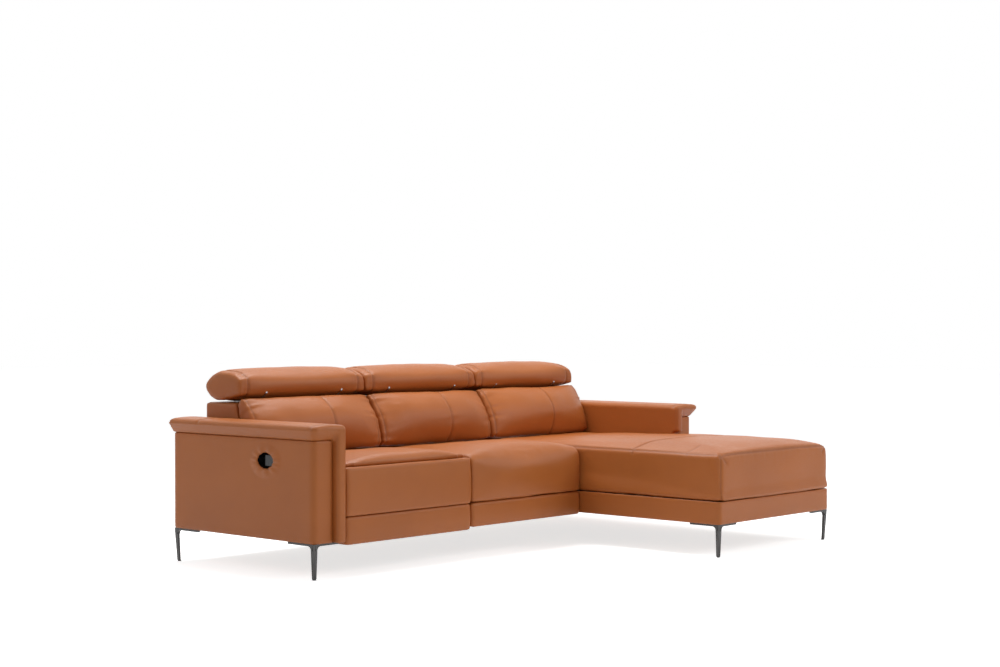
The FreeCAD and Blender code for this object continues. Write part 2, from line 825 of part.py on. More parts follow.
def seat_base_frame():
    """The base under seats 1 and 2: low under the recliner, and a full box under seat 2."""
    left = SEATS[0][0] + BASE_INSET
    middle = SEATS[1][0] + SEAT_FRAME_SIDE
    right = SEATS[1][1] - SEAT_FRAME_SIDE
    rail_front = BAND_BACK
    side_front = FOOTREST_BACK + FOOTREST_BOARD + 2 * WING_TIP
    low = LEG_HEIGHT
    inner_left = middle + RAIL_THICK
    inner_right = right - RAIL_THICK
    pieces = [
        block(left, left + RAIL_THICK, side_front, REAR_RAIL_FRONT, low, LOW_RAIL_TOP),
        block(middle, inner_left, rail_front, REAR_RAIL_FRONT, low, DECK),
        block(inner_right, right, rail_front, REAR_RAIL_FRONT, low, DECK),
        block(inner_left, inner_right, rail_front, rail_front + RAIL_THICK, low, DECK),
        block(left, right, REAR_RAIL_FRONT, REAR_PANEL_FRONT, low, REAR_RAIL_TOP),
    ]
    for depth in CROSS_RAILS:
        pieces.append(
            block(left + RAIL_THICK, middle, depth, depth + CROSS_RAIL_DEEP, low, LOW_RAIL_TOP)
        )
    pieces += battens(
        inner_left, inner_right, rail_front + RAIL_THICK, REAR_RAIL_FRONT, low, LOW_RAIL_TOP
    )
    return pieces


def chaise_frame():
    """The chaise's base: rails just inside its band, stepped in beside the right arm."""
    left = SEATS[2][0] + SOFT_GAP + CHAISE_BAND_WALL
    outer = HALF_WIDTH - CHAISE_BAND_WALL
    right = SEATS[2][1] - BASE_INSET
    front = -CHAISE_REACH + CHAISE_BAND_WALL
    low = LEG_HEIGHT
    cross = -SEAT_FRAME_SIDE - RAIL_THICK
    pieces = [
        block(left, outer, front, front + RAIL_THICK, low, DECK),
        block(left, left + RAIL_THICK, front + RAIL_THICK, REAR_RAIL_FRONT, low, DECK),
        block(outer - RAIL_THICK, outer, front + RAIL_THICK, cross, low, DECK),
        block(left + RAIL_THICK, outer, cross, cross + RAIL_THICK, low, DECK),
        block(right - RAIL_THICK, right, cross + RAIL_THICK, REAR_RAIL_FRONT, low, DECK),
        block(left, right, REAR_RAIL_FRONT, REAR_PANEL_FRONT, low, REAR_RAIL_TOP),
    ]
    inside = left + RAIL_THICK
    pieces += battens(
        inside, outer - RAIL_THICK, front + RAIL_THICK, cross, low, LOW_RAIL_TOP
    )
    pieces += battens(
        inside, right - RAIL_THICK, cross + RAIL_THICK, REAR_RAIL_FRONT, low, LOW_RAIL_TOP
    )
    return pieces


def make_base():
    """Base frames, their rear panels and the webbing under the fixed seats."""
    left = SEATS[0][0] + BASE_INSET
    right = SEATS[1][1] - SEAT_FRAME_SIDE
    chaise_left = SEATS[2][0] + SOFT_GAP + CHAISE_BAND_WALL
    chaise_right = SEATS[2][1] - BASE_INSET
    outer = HALF_WIDTH - CHAISE_BAND_WALL
    rear = REAR_PANEL_FRONT + REAR_PANEL_THICK
    panels = [
        block(left, right, REAR_PANEL_FRONT, rear, LEG_HEIGHT, REAR_PANEL_TOP),
        block(chaise_left, chaise_right, REAR_PANEL_FRONT, rear, LEG_HEIGHT, REAR_PANEL_TOP),
    ]
    middle = SEATS[1][0] + SEAT_FRAME_SIDE
    webs = straps(middle, right, BAND_BACK + RAIL_THICK, SEAT_END, DECK)
    front = -CHAISE_REACH + CHAISE_BAND_WALL + RAIL_THICK
    cross = -SEAT_FRAME_SIDE - RAIL_THICK
    chaise_webs = straps(chaise_left, outer, front, cross, DECK)
    chaise_webs += straps(chaise_left, chaise_right, 0, SEAT_END, DECK)
    return {
        "seat_base_frame": Part.makeCompound(seat_base_frame()),
        "chaise_base_frame": Part.makeCompound(chaise_frame()),
        "base_rear_panels": Part.makeCompound(panels),
        "seat_2_webbing": Part.makeCompound(webs),
        "chaise_webbing": Part.makeCompound(chaise_webs),
    }


# Backs


def back_face(z):
    """Depth of the back's sloping front face at a height."""
    return BACK_FOOT + BACK_SLOPE * (z - BACK_BOTTOM)


def back_cover(x0, x1):
    """The upholstered shell of one back, open below."""
    outer = side_plate(
        [
            (BACK_FOOT, BACK_BOTTOM),
            (BACK_HEAD, BACK_TOP),
            (BACK_REAR, BACK_TOP),
            (BACK_REAR, BACK_BOTTOM),
        ],
        x0,
        x1,
    )
    ring = [e for e in outer.Edges if abs(e.BoundBox.ZMin - BACK_TOP) < TOUCH]
    outer = outer.makeFillet(BACK_ROUND, ring)
    hollow = side_plate(back_inside(BACK_BOTTOM - 1), x0 + COVER_WALL, x1 - COVER_WALL)
    return outer.cut(hollow)


def back_inside(low):
    """Side outline of the space inside a back's shell, down to low."""
    shift = COVER_WALL * math.sqrt(1 + BACK_SLOPE**2)
    top = BACK_TOP - COVER_WALL
    return [
        (back_face(low) + shift, low),
        (back_face(top) + shift, top),
        (BACK_REAR - COVER_WALL, top),
        (BACK_REAR - COVER_WALL, low),
    ]


def back_frame(x0, x1, fixed):
    """The timber inside one back. A fixed back stands on the base with two legs."""
    inner = BACK_POST_INNER
    centre = (x0 + x1) / 2
    posts = [
        (x0 + inner - BACK_POST, x0 + inner),
        (centre - BACK_POST / 2, centre + BACK_POST / 2),
        (x1 - inner, x1 - inner + BACK_POST),
    ]
    pieces = [side_plate(back_inside(BACK_BOTTOM), a, b) for a, b in posts]
    top = BACK_TOP - COVER_WALL
    rail_front = back_face(top) + 2 * COVER_WALL
    rail_back = BACK_REAR - COVER_WALL
    for a, b in ((posts[0][1], posts[1][0]), (posts[1][1], posts[2][0])):
        pieces.append(block(a, b, rail_front, rail_back, top - BACK_POST, top))
        pieces.append(
            block(a, b, RECLINE_REACH[0] + RAIL_THICK, rail_back, BACK_BOTTOM, BACK_BOTTOM + BACK_POST)
        )
    if fixed:
        for a, b in (posts[0], posts[2]):
            pieces.append(
                block(a, b, REAR_RAIL_FRONT - BACK_LEG_DEPTH, REAR_RAIL_FRONT, DECK, BACK_BOTTOM)
            )
    return pieces


def back_cushion_outline(inset, crown):
    """Side outline of a back cushion, which leans on the shell and bellies forward."""
    belly = CUSHION_BELLY + CUSHION_CROWN * crown - inset
    foot = CUSHION_FOOT + inset / 2
    head = CUSHION_TOP - inset
    front_foot = CUSHION_FRONT_FOOT + inset
    front_head = CUSHION_FRONT_HEAD + inset
    rise = math.dist((CUSHION_FRONT_FOOT, CUSHION_FOOT), (CUSHION_FRONT_HEAD, CUSHION_TOP))
    ahead = (CUSHION_TOP - CUSHION_FOOT) / rise
    up = (CUSHION_FRONT_HEAD - CUSHION_FRONT_FOOT) / rise
    rear_top = BACK_TOP - BACK_ROUND / 2
    toe = CUSHION_TOE
    middle = ((front_foot + front_head) / 2, (foot + head) / 2)
    return [
        (front_foot + toe, foot),
        (front_foot, foot + toe),
        (
            front_head,
            head - toe / 2,
            middle[0] - ahead * belly,
            middle[1] + up * belly,
        ),
        (back_face(rear_top), rear_top, front_head + toe, head + toe / 6),
        (back_face(foot), foot),
    ]


def make_backs():
    """Shells, timber and cushions of the three backs. The first one reclines, so it has no legs."""
    parts = {}
    for number, (x0, x1) in enumerate(SEATS, 1):
        a = x0 + SOFT_GAP
        b = x1 - SOFT_GAP
        name = f"back_{number}"
        parts[f"{name}_cover"] = back_cover(a, b)
        parts[f"{name}_frame"] = Part.makeCompound(back_frame(x0, x1, number > 1))
        parts[f"{name}_cushion"] = soft_loft(a, b, back_cushion_outline)
    return parts


# Headrests


def headrest_outline(inset):
    """Side outline of a headrest lying back, rounded about its hinge at the front lower edge."""
    pivot = (HINGE_DEPTH, HINGE_HEIGHT)
    r = HINGE_ROUND
    h = r * math.sqrt(0.5)
    front = pivot[0] - r
    top = HEAD_TOP - inset
    rear = HEAD_REAR - inset
    low = BACK_TOP + 4 * HEAD_GAP
    length = HEAD_REAR - front
    return [
        (front, pivot[1]),
        (pivot[0], pivot[1] - r, pivot[0] - h, pivot[1] - h),
        (pivot[0] + HEAD_FLAT * length, low),
        (rear, pivot[1] + HEAD_TAIL_RISE, rear - HEAD_TAIL * length, low + r),
        (
            rear - HEAD_CREST * length,
            top,
            rear - HEAD_SLOPE * length,
            top - HEAD_SLOPE_DROP,
        ),
        (
            front + inset / 2,
            top - 2 * r,
            front + HEAD_BROW * length,
            top - HEAD_BROW_DROP,
        ),
    ]


def hinge_stations(x0, x1):
    """X of each hinge of a headrest: the fixed leaf's outer face."""
    centre = (x0 + x1) / 2
    return [centre - HINGE_SPREAD, centre + HINGE_SPREAD]


def fixed_leaf_points():
    """Corners of a hinge's fixed leaf between the back's top and the eye."""
    eye = HINGE_EYE
    foot = BACK_HEAD + BACK_ROUND + 2 * HEAD_GAP
    top = BACK_TOP
    angle = math.atan2(top - HINGE_HEIGHT, foot + HINGE_EYE - HINGE_DEPTH)
    side = (eye * math.sin(angle), -eye * math.cos(angle))
    return [
        (HINGE_DEPTH + side[0], HINGE_HEIGHT + side[1]),
        (foot - HEAD_GAP, top),
        (foot + 2 * HINGE_EYE, top),
        (HINGE_DEPTH - side[0], HINGE_HEIGHT - side[1]),
    ]


def hinge_bracket(x):
    """A fixed hinge leaf with its foot plate on the back's shell."""
    pivot = (HINGE_DEPTH, HINGE_HEIGHT)
    leaf = side_plate(fixed_leaf_points(), x, x + HINGE_LEAF)
    eye = sided_bar_x(x, x + HINGE_LEAF, pivot, HINGE_EYE)
    foot_front = BACK_HEAD + BACK_ROUND
    foot = block(
        x - 3 * HINGE_LEAF,
        x + HINGE_LEAF,
        foot_front,
        foot_front + 3 * HINGE_EYE,
        BACK_TOP,
        BACK_TOP + HINGE_LEAF / 2,
    )
    hole = bar_x(x - 1, x + HINGE_LEAF + 1, pivot, HINGE_PIN + RUN_GAP)
    return leaf.fuse([eye, foot]).removeSplitter().cut(hole)


def hinge_arm(x, grow=0.0, pin_shape=bar_x):
    """A moving hinge leaf with its pin. With grow it is the pocket that takes it."""
    pivot = (HINGE_DEPTH, HINGE_HEIGHT)
    x0 = x + HINGE_LEAF + HINGE_LAYER_GAP
    leaf = link_plate(
        x0 - grow,
        x0 + HINGE_LEAF + grow,
        pivot,
        HEAD_REACH,
        HEAD_LEAF_HALF + grow,
        HINGE_EYE + grow,
        HEAD_LEAF_HALF + grow,
        sided_bar_x,
    )
    pin = pin_shape(x - 2 * HINGE_LAYER_GAP - grow, x0 + HINGE_LEAF, pivot, HINGE_PIN + grow)
    return leaf.fuse(pin).removeSplitter()


def hinge_slot(x):
    """The slot in a headrest that its fixed leaf sweeps through as the headrest rises."""
    pivot = (HINGE_DEPTH, HINGE_HEIGHT)
    eye = HINGE_EYE + 3 * HINGE_LAYER_GAP
    far = HINGE_SWEEP
    x0 = x - HINGE_LAYER_GAP
    x1 = x + HINGE_LEAF + HINGE_LAYER_GAP
    upper = fixed_leaf_points()[3]
    foot = fixed_leaf_points()[2]
    wedge = side_plate(
        [
            (upper[0] + HINGE_LAYER_GAP, upper[1] + HINGE_LAYER_GAP),
            (foot[0] + HINGE_LAYER_GAP, foot[1] + HINGE_LAYER_GAP),
            (pivot[0] + far / 2, pivot[1] - 2 * far),
            (pivot[0] - far, pivot[1] - far),
            (pivot[0] - eye, pivot[1] + HINGE_PIN),
        ],
        x0,
        x1,
    )
    return wedge.fuse(sided_bar_x(x0, x1, pivot, eye))


def make_headrests():
    """Three headrests with two hinges each: fixed leaves on the back, moving leaves inside."""
    parts = {}
    for number, (x0, x1) in enumerate(SEATS, 1):
        stations = hinge_stations(x0, x1)
        body = soft_loft(
            x0 + HEAD_GAP,
            x1 - HEAD_GAP,
            lambda inset, crown: headrest_outline(inset),
            HEAD_DRAW,
            HEAD_DRAW_RUN,
            (),
        )
        cuts = [hinge_slot(x) for x in stations]
        cuts += [hinge_arm(x, POCKET_GAP, sided_bar_x) for x in stations]
        name = f"headrest_{number}"
        parts[name] = body.cut(cuts)
        parts[f"{name}_hinge_arms"] = Part.makeCompound([hinge_arm(x) for x in stations])
        parts[f"{name}_hinge_brackets"] = Part.makeCompound([hinge_bracket(x) for x in stations])
    return parts


# Recliner mechanism


def channel_top():
    """Height of the top of the fixed channels."""
    return LOW_RAIL_TOP + 2 * CHANNEL_WALL + GLIDE_HEIGHT + 2 * RUN_GAP


def base_channel(x):
    """A C-shaped channel on the base frame, open towards the seat's side plate."""
    outer = block(
        x + CHANNEL[0], x + CHANNEL[1], CHANNEL_FRONT, REAR_RAIL_FRONT, LOW_RAIL_TOP, channel_top()
    )
    inner = block(
        x + CHANNEL[0] + CHANNEL_WALL,
        x + CHANNEL[1] + 1,
        CHANNEL_FRONT - 1,
        REAR_RAIL_FRONT + 1,
        LOW_RAIL_TOP + CHANNEL_WALL,
        channel_top() - CHANNEL_WALL,
    )
    return outer.cut(inner)


def slide_glides(x):
    """Nylon blocks on the side plate that run inside the channel."""
    low = LOW_RAIL_TOP + CHANNEL_WALL + RUN_GAP
    return [
        block(
            x + CHANNEL[0] + CHANNEL_WALL + LAYER_GAP,
            x + PLATE_INSET,
            depth - GLIDE_LENGTH / 2,
            depth + GLIDE_LENGTH / 2,
            low,
            low + GLIDE_HEIGHT,
        )
        for depth in GLIDE_DEPTHS
    ]


def side_plate_steel(x):
    """The seat's left side plate, with the flange under the seat frame and the recline pin."""
    x0 = x + PLATE_INSET
    x1 = x0 + PLATE_THICK
    eye = RECLINE_EYE + LINK_THICK / 2
    low = LOW_RAIL_TOP + CHANNEL_WALL + RUN_GAP
    top = SEAT_FRAME_BOTTOM
    rear_post = SEAT_FRAME_END + SEAT_FRAME_SIDE
    points = [
        (SEAT_FRAME_FRONT + RAIL_THICK, top),
        (SEAT_FRAME_FRONT + RAIL_THICK, DRIVE[1] - 2 * DRIVE_RADIUS),
        (DRIVE[0] + 2 * DRIVE_RADIUS, DRIVE[1] - 3 * DRIVE_RADIUS),
        (
            GLIDE_DEPTHS[0] - 2 * GLIDE_LENGTH,
            low,
            CHANNEL_FRONT - GLIDE_LENGTH,
            low + 3 * DRIVE_RADIUS,
        ),
        (GLIDE_DEPTHS[1] + GLIDE_LENGTH, low),
        (RECLINE[0] + eye, RECLINE[1]),
        (RECLINE[0] - eye, RECLINE[1], RECLINE[0], RECLINE[1] + eye),
        (rear_post, top),
    ]
    web = side_plate(points, x0, x1)
    flange = block(
        x0 - PLATE_FLANGE,
        x0,
        SEAT_FRAME_FRONT + RAIL_THICK,
        SEAT_FRAME_END,
        top - PLATE_THICK,
        top,
    )
    hole = bar_x(x0 - 1, x1 + 1, DRIVE, DRIVE_END_RADIUS + RUN_GAP)
    pin = bar_x(x0, x1 + LINK_THICK + LAYER_GAP + PIN_HEAD_THICK, RECLINE, RECLINE_PIN)
    return web.fuse([flange, pin]).removeSplitter().cut(hole)


def lower_link(x):
    """The driven link, seated on the drive tube's end, with the pin for the upper link."""
    x0 = x + LAYER_LOW
    x1 = x0 + LINK_THICK
    plate = link_plate(
        x0, x1, DRIVE, LINK_LOW_PIN, LINK_HALF, DRIVE_END_RADIUS + LINK_EYE_WALL, LINK_HALF
    )
    plate = plate.cut(bar_x(x0 - 1, x1 + 1, DRIVE, DRIVE_END_RADIUS))
    return plate.fuse(shoulder_pin(x1, LINK_LOW_PIN)).removeSplitter()


def shoulder_pin(x0, centre):
    """A headed pin that runs through the next link inwards."""
    shank = bar_x(x0, x0 + LINK_THICK + 2 * LAYER_GAP, centre, LINK_PIN)
    head_x = x0 + LINK_THICK + 2 * LAYER_GAP
    return shank.fuse(sided_bar_x(head_x, head_x + PIN_HEAD_THICK, centre, PIN_HEAD, 6))


def upper_link(x):
    """The link from the lower link's pin up to the footrest, with the footrest's pin."""
    x0 = x + LAYER_HIGH
    x1 = x0 + LINK_THICK
    plate = link_plate(
        x0, x1, LINK_LOW_PIN, FOOTREST_PIVOT, LINK_HALF, LINK_HALF + LINK_EYE_LIP, LINK_HALF
    )
    hole = bar_x(x0 - 1, x1 + 1, LINK_LOW_PIN, LINK_PIN + RUN_GAP)
    return plate.cut(hole).fuse(shoulder_pin(x1, FOOTREST_PIVOT)).removeSplitter()


def footrest_bracket(x):
    """The bracket from the footrest's pivot to the back of its board."""
    x0 = x + LAYER_BRACKET
    x1 = x0 + LINK_THICK
    board = FOOTREST_BACK + FOOTREST_BOARD
    z = FOOTREST_PIVOT[1]
    k = LINK_HALF * math.sqrt(0.5)
    web = side_plate(
        [
            (board, z - 4 * LINK_HALF),
            (board, z + LINK_HALF),
            (FOOTREST_PIVOT[0], z + LINK_HALF),
            (FOOTREST_PIVOT[0] + LINK_HALF, z, FOOTREST_PIVOT[0] + k, z + k),
        ],
        x0,
        x1,
    )
    eye = bar_x(x0, x1, FOOTREST_PIVOT, LINK_HALF)
    flange = block(
        x0, x0 + 6 * LINK_THICK, board, board + CHANNEL_WALL, z - 5 * LINK_HALF, z + 2 * LINK_HALF
    )
    hole = bar_x(x0 - 1, x1 + 1, FOOTREST_PIVOT, LINK_PIN + RUN_GAP)
    return web.fuse([eye, flange]).removeSplitter().cut(hole)


def recline_bracket(x):
    """The steel arm that carries the reclining back on the side plate's pin."""
    x0 = x + BACK_POST_INNER
    x1 = x0 + LINK_THICK
    arm = link_plate(x0, x1, RECLINE, RECLINE_REACH, RECLINE_EYE, RECLINE_EYE, RECLINE_EYE)
    return arm.cut(bar_x(x0 - 1, x1 + 1, RECLINE, RECLINE_PIN + RUN_GAP))


def drive_tube(x0, x1):
    """The tube across the seat that turns both lower links, stepped down at its ends."""
    a = x0 + PLATE_INSET - PLATE_THICK
    b = x1 - PLATE_INSET + PLATE_THICK
    shoulder = LAYER_LOW + LINK_THICK
    thin = bar_x(a, b, DRIVE, DRIVE_END_RADIUS)
    thick = bar_x(x0 + shoulder, x1 - shoulder, DRIVE, DRIVE_RADIUS)
    bore = sided_bar_x(a - 1, b + 1, DRIVE, DRIVE_BORE)
    return thin.fuse(thick).removeSplitter().cut(bore)


def seat_frame(x0, x1):
    """The recliner's timber seat frame, with a thinner front rail over the links."""
    left = x0 + SEAT_FRAME_SIDE
    right = x1 - SEAT_FRAME_SIDE
    side = CROSS_RAIL_DEEP
    low = SEAT_FRAME_BOTTOM
    top = SEAT_FRAME_TOP
    front = SEAT_FRAME_FRONT
    end = SEAT_FRAME_END
    return [
        block(left, left + side, front, end, low, top),
        block(right - side, right, front, end, low, top),
        block(left + side, right - side, front, front + side, top - FRONT_RAIL_THIN, top),
        block(left + side, right - side, end - side, end, low, top),
    ]


def seat_webbing(x0, x1):
    """Straps across the seat frame, and three lengthwise straps laid over them."""
    left = x0 + SEAT_FRAME_SIDE
    right = x1 - SEAT_FRAME_SIDE
    pieces = straps(left, right, SEAT_FRAME_FRONT + CROSS_RAIL_DEEP, SEAT_END, SEAT_FRAME_TOP)
    for share in LONG_STRAPS:
        centre = left + share * (right - left)
        pieces.append(
            block(
                centre - STRAP_WIDTH / 2,
                centre + STRAP_WIDTH / 2,
                SEAT_FRAME_FRONT + CROSS_RAIL_DEEP,
                SEAT_END,
                SEAT_FRAME_TOP + STRAP_THICK,
                SEAT_FRAME_TOP + 2 * STRAP_THICK,
            )
        )
    return pieces


def make_recliner():
    """Everything under seat 1 that slides, turns or carries the footrest."""
    x0, x1 = SEATS[0]
    middle = (x0 + x1) / 2
    board = block(
        x0 + BOARD_SIDE,
        x1 - BOARD_SIDE,
        FOOTREST_BACK,
        FOOTREST_BACK + FOOTREST_BOARD,
        FOOTREST_BOARD_LOW,
        FOOTREST_BOARD_HIGH,
    )
    return {
        "seat_1_frame": Part.makeCompound(seat_frame(x0, x1)),
        "seat_1_webbing": Part.makeCompound(seat_webbing(x0, x1)),
        "mech_base_channels": both_sides([base_channel(x0)], middle),
        "mech_side_plates": both_sides([side_plate_steel(x0)], middle),
        "mech_glides": both_sides(slide_glides(x0), middle),
        "drive_tube": drive_tube(x0, x1),
        "footrest_lower_links": both_sides([lower_link(x0)], middle),
        "footrest_upper_links": both_sides([upper_link(x0)], middle),
        "footrest_brackets": both_sides([footrest_bracket(x0)], middle),
        "footrest_board": board,
        "back_1_brackets": both_sides([recline_bracket(x0)], middle),
    }


# Legs and fixings


def square_loft(top, foot, offset_top, offset_foot, foot_size):
    """A square post that tapers from LEG_HEIGHT down to the foot pad."""
    rings = []
    for z, offset, size in ((LEG_HEIGHT, offset_top, top), (foot_size, offset_foot, foot)):
        a = offset
        b = offset + size
        rings.append([V(a, a, z), V(b, a, z), V(b, b, z), V(a, b, z)])
    return flat_faced(rings)


def wing(length):
    """One wing of a leg along +X: thin to its tip, with a bend down into the post."""
    start = POST_TOP - WING_LAP
    tip = LEG_HEIGHT - WING_TIP
    k = WING_BEND * (1 - math.sqrt(0.5))
    points = [
        (start / 2, LEG_HEIGHT),
        (length, LEG_HEIGHT),
        (length, tip),
        (start + WING_BEND, tip),
        (start, tip - WING_BEND, start + k, tip - k),
        (start / 2, tip - WING_BEND),
    ]
    wire = outline(points, lambda along, z: V(along, 0, z))
    return Part.Face(wire).extrude(V(0, WING_THICK, 0))


def leg():
    """A metal corner leg at the origin: an angle section with two wings and a screw plate."""
    post = square_loft(POST_TOP, POST_FOOT, 0, POST_SLANT, FOOT_PAD)
    notch = square_loft(POST_TOP, POST_FOOT, POST_WALL, POST_SLANT + POST_WALL, FOOT_PAD)
    across = wing(WING_FRONT)
    along = wing(WING_SIDE).mirror(V(0, 0, 0), V(1, -1, 0))
    side = LEG_PLATE - POST_WALL
    plate = Part.makeBox(
        side, side, LEG_PLATE_THICK, V(POST_WALL, POST_WALL, LEG_HEIGHT - LEG_PLATE_THICK)
    )
    return post.cut(notch).fuse([across, along, plate]).removeSplitter()


def leg_places():
    """For each leg: its name, the corner's x and depth, and the directions of its wings."""
    front = -CHAISE_REACH + LEG_INSET
    left = -HALF_WIDTH + LEG_INSET
    right = HALF_WIDTH - LEG_INSET
    chaise = SEATS[2][0] + SOFT_GAP + LEG_INSET
    return [
        ("leg_front_left", left, LEG_INSET, 1, 1),
        ("leg_rear_left", left, ARM_DEPTH - LEG_INSET, 1, -1),
        ("leg_rear_right", right, ARM_DEPTH - LEG_INSET, -1, -1),
        ("leg_chaise_left", chaise, front, 1, 1),
        ("leg_chaise_right", right, front, -1, 1),
    ]


def placed(shape, x, depth, x_way, y_way):
    """A shape made at the origin, turned by mirrors and moved to a corner."""
    result = shape
    if x_way < 0:
        result = result.mirror(V(0, 0, 0), V(1, 0, 0))
    if y_way < 0:
        result = result.mirror(V(0, 0, 0), V(0, 1, 0))
    return result.translated(V(x, y_at(depth), 0))


def leg_screws():
    """The two screws of a leg at the origin, up through its plate."""
    screws = []
    head = LEG_HEIGHT - LEG_PLATE_THICK - LEG_SCREW_HEAD_THICK
    top = head + LEG_SCREW_HEAD_THICK + LEG_SCREW_LENGTH
    for x, y in ((LEG_SCREW_FAR, LEG_SCREW_NEAR), (LEG_SCREW_NEAR, LEG_SCREW_FAR)):
        shaft = sided_bar_z(x, y, head, top, LEG_SCREW)
        cap = sided_bar_z(x, y, head, head + LEG_SCREW_HEAD_THICK, LEG_SCREW_HEAD, 6)
        screws.append(shaft.fuse(cap).removeSplitter())
    return screws


def connector_bolt(x0, x1, depth, z, spacer=None):
    """A bolt along X with a head at x1 and, on a long one, a nut at x0 and a spacer."""
    shaft = sided_bar_x(x0, x1, (depth, z), BOLT_RADIUS)
    head = sided_bar_x(x1, x1 + BOLT_HEAD_THICK, (depth, z), BOLT_HEAD, 6)
    pieces = [head]
    if spacer:
        half = SPACER_SIDE / 2
        pieces.append(sided_bar_x(x0 - BOLT_HEAD_THICK, x0, (depth, z), BOLT_HEAD, 6))
        pieces.append(
            block(spacer[0], spacer[1], depth - half, depth + half, z - half, z + half)
        )
    return shaft.fuse(pieces).removeSplitter()


def connectors():
    """Bolts that join the arms, the two-seat base and the chaise's base into one sofa."""
    left_rail = SEATS[0][0] + BASE_INSET + RAIL_THICK
    arm_low = LEG_HEIGHT + CASE_FLOOR + TIMBER / 2
    bolts = []
    for depth in (BOLT_FRONT_DEPTH, REAR_RAIL_FRONT - BOLT_REAR_SETBACK):
        arm_end = -INNER - (ARM_WIDTH - ARM_CASE_WIDTH) - RAIL_THICK
        bolt = connector_bolt(arm_end, left_rail, depth, arm_low)
        bolts += [bolt, mirrored(bolt)]
        a = SEATS[1][1] - SEAT_FRAME_SIDE
        b = SEATS[2][0] + SOFT_GAP + CHAISE_BAND_WALL
        bolts.append(
            connector_bolt(a - RAIL_THICK, b + RAIL_THICK, depth, LOW_RAIL_TOP + TIMBER / 2, (a, b))
        )
    return bolts


def make_legs(parts):
    """Legs, foot pads, hidden supports, screws and bolts, with the holes that the fixings need."""
    screws = []
    pads = []
    shape = leg().cut(leg_screws())
    pad_start = POST_SLANT + (POST_FOOT - FOOT_PAD_SIDE) / 2
    pad = Part.makeBox(FOOT_PAD_SIDE, FOOT_PAD_SIDE, FOOT_PAD, V(pad_start, pad_start, 0))
    for name, x, depth, x_way, y_way in leg_places():
        parts[name] = placed(shape, x, depth, x_way, y_way)
        screws += [placed(s, x, depth, x_way, y_way) for s in leg_screws()]
        pads.append(placed(pad, x, depth, x_way, y_way))
    supports = []
    half = SUPPORT_SIDE / 2
    for x in (SEATS[1][1] - RAIL_THICK / 2, SEATS[2][0] + RAIL_THICK, SEATS[1][0]):
        depth = REAR_RAIL_FRONT + RAIL_THICK / 2
        supports.append(block(x - half, x + half, depth - half, depth + half, 0, LEG_HEIGHT))
    bolts = connectors()
    fixings = {
        "left_arm_panel": screws[:4],
        "left_arm_frame": screws[:4] + bolts,
        "left_arm_pad": bolts,
        "right_arm_panel": screws[4:6],
        "right_arm_frame": screws[4:6] + bolts,
        "right_arm_pad": bolts,
        "chaise_base_frame": screws[6:] + bolts,
        "chaise_base_band": screws[6:],
        "seat_base_frame": bolts,
    }
    for name, tools in fixings.items():
        parts[name] = parts[name].cut(tools)
    parts["support_legs"] = Part.makeCompound(supports)
    parts["leg_pads"] = Part.makeCompound(pads)
    parts["leg_screws"] = Part.makeCompound(screws)
    parts["sofa_connectors"] = Part.makeCompound(bolts)


def main():
    parts = {}
    parts.update(make_arms())
    parts.update(make_base())
    parts.update(make_seats())
    parts.update(make_backs())
    parts.update(make_headrests())
    parts.update(make_recliner())
    parts["release_cup"] = release_cup()
    parts["release_lever"] = release_lever()
    parts["release_cable"] = release_cable()
    parts["release_latch"] = release_latch()
    make_legs(parts)
    os.makedirs("parts", exist_ok=True)
    for name, shape in parts.items():
        solids = shape.Solids
        if not shape.isValid() or not solids:
            raise ValueError(f"{name} is not valid")
        shape.exportStep(f"parts/{name}.step")
        print(name, len(solids), "solids", round(shape.Volume / 1000), "cm3")
    print(len(parts), "sub-parts")


if __name__ == "__main__":
    main()
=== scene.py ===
"""Leather corner sofa: its leather, padding, seams, metal and timber around the fixed frame."""

import json
import math

import bmesh
import bpy
import numpy as np
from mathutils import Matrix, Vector, noise
from mathutils.bvhtree import BVHTree


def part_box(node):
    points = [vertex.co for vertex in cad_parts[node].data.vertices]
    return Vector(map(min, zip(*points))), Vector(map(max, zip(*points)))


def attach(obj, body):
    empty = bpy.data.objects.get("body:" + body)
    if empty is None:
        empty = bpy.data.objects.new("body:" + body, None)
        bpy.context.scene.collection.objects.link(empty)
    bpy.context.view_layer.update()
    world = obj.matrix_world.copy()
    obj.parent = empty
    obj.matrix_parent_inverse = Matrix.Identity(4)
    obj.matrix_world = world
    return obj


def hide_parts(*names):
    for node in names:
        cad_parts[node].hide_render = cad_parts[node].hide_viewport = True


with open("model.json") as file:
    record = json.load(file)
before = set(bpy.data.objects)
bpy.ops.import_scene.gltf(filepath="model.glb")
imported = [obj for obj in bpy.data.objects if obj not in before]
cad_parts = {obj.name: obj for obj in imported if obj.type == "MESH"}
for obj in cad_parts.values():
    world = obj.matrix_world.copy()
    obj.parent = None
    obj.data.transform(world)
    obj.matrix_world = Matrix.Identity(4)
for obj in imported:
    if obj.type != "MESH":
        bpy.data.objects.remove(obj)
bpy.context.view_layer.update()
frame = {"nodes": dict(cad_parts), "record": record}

bl_info = {
    "name": "Leather corner sofa",
    "version": (1, 0, 0),
    "blender": (4, 5, 0),
    "location": "View3D > Sidebar > Sofa",
    "description": "Upholsters a corner sofa with a recliner and a chaise",
    "category": "Add Mesh",
}

# Camera of the photograph, in metres and degrees, with the lens and the sensor in millimetres
CAMERA_PLACE = (-5.915, -5.219, 1.016)
CAMERA_YAW = 48.008
CAMERA_PITCH = -0.31
CAMERA_LENS = 63.18
CAMERA_SENSOR = 36.0
CAMERA_REACH = 100.0

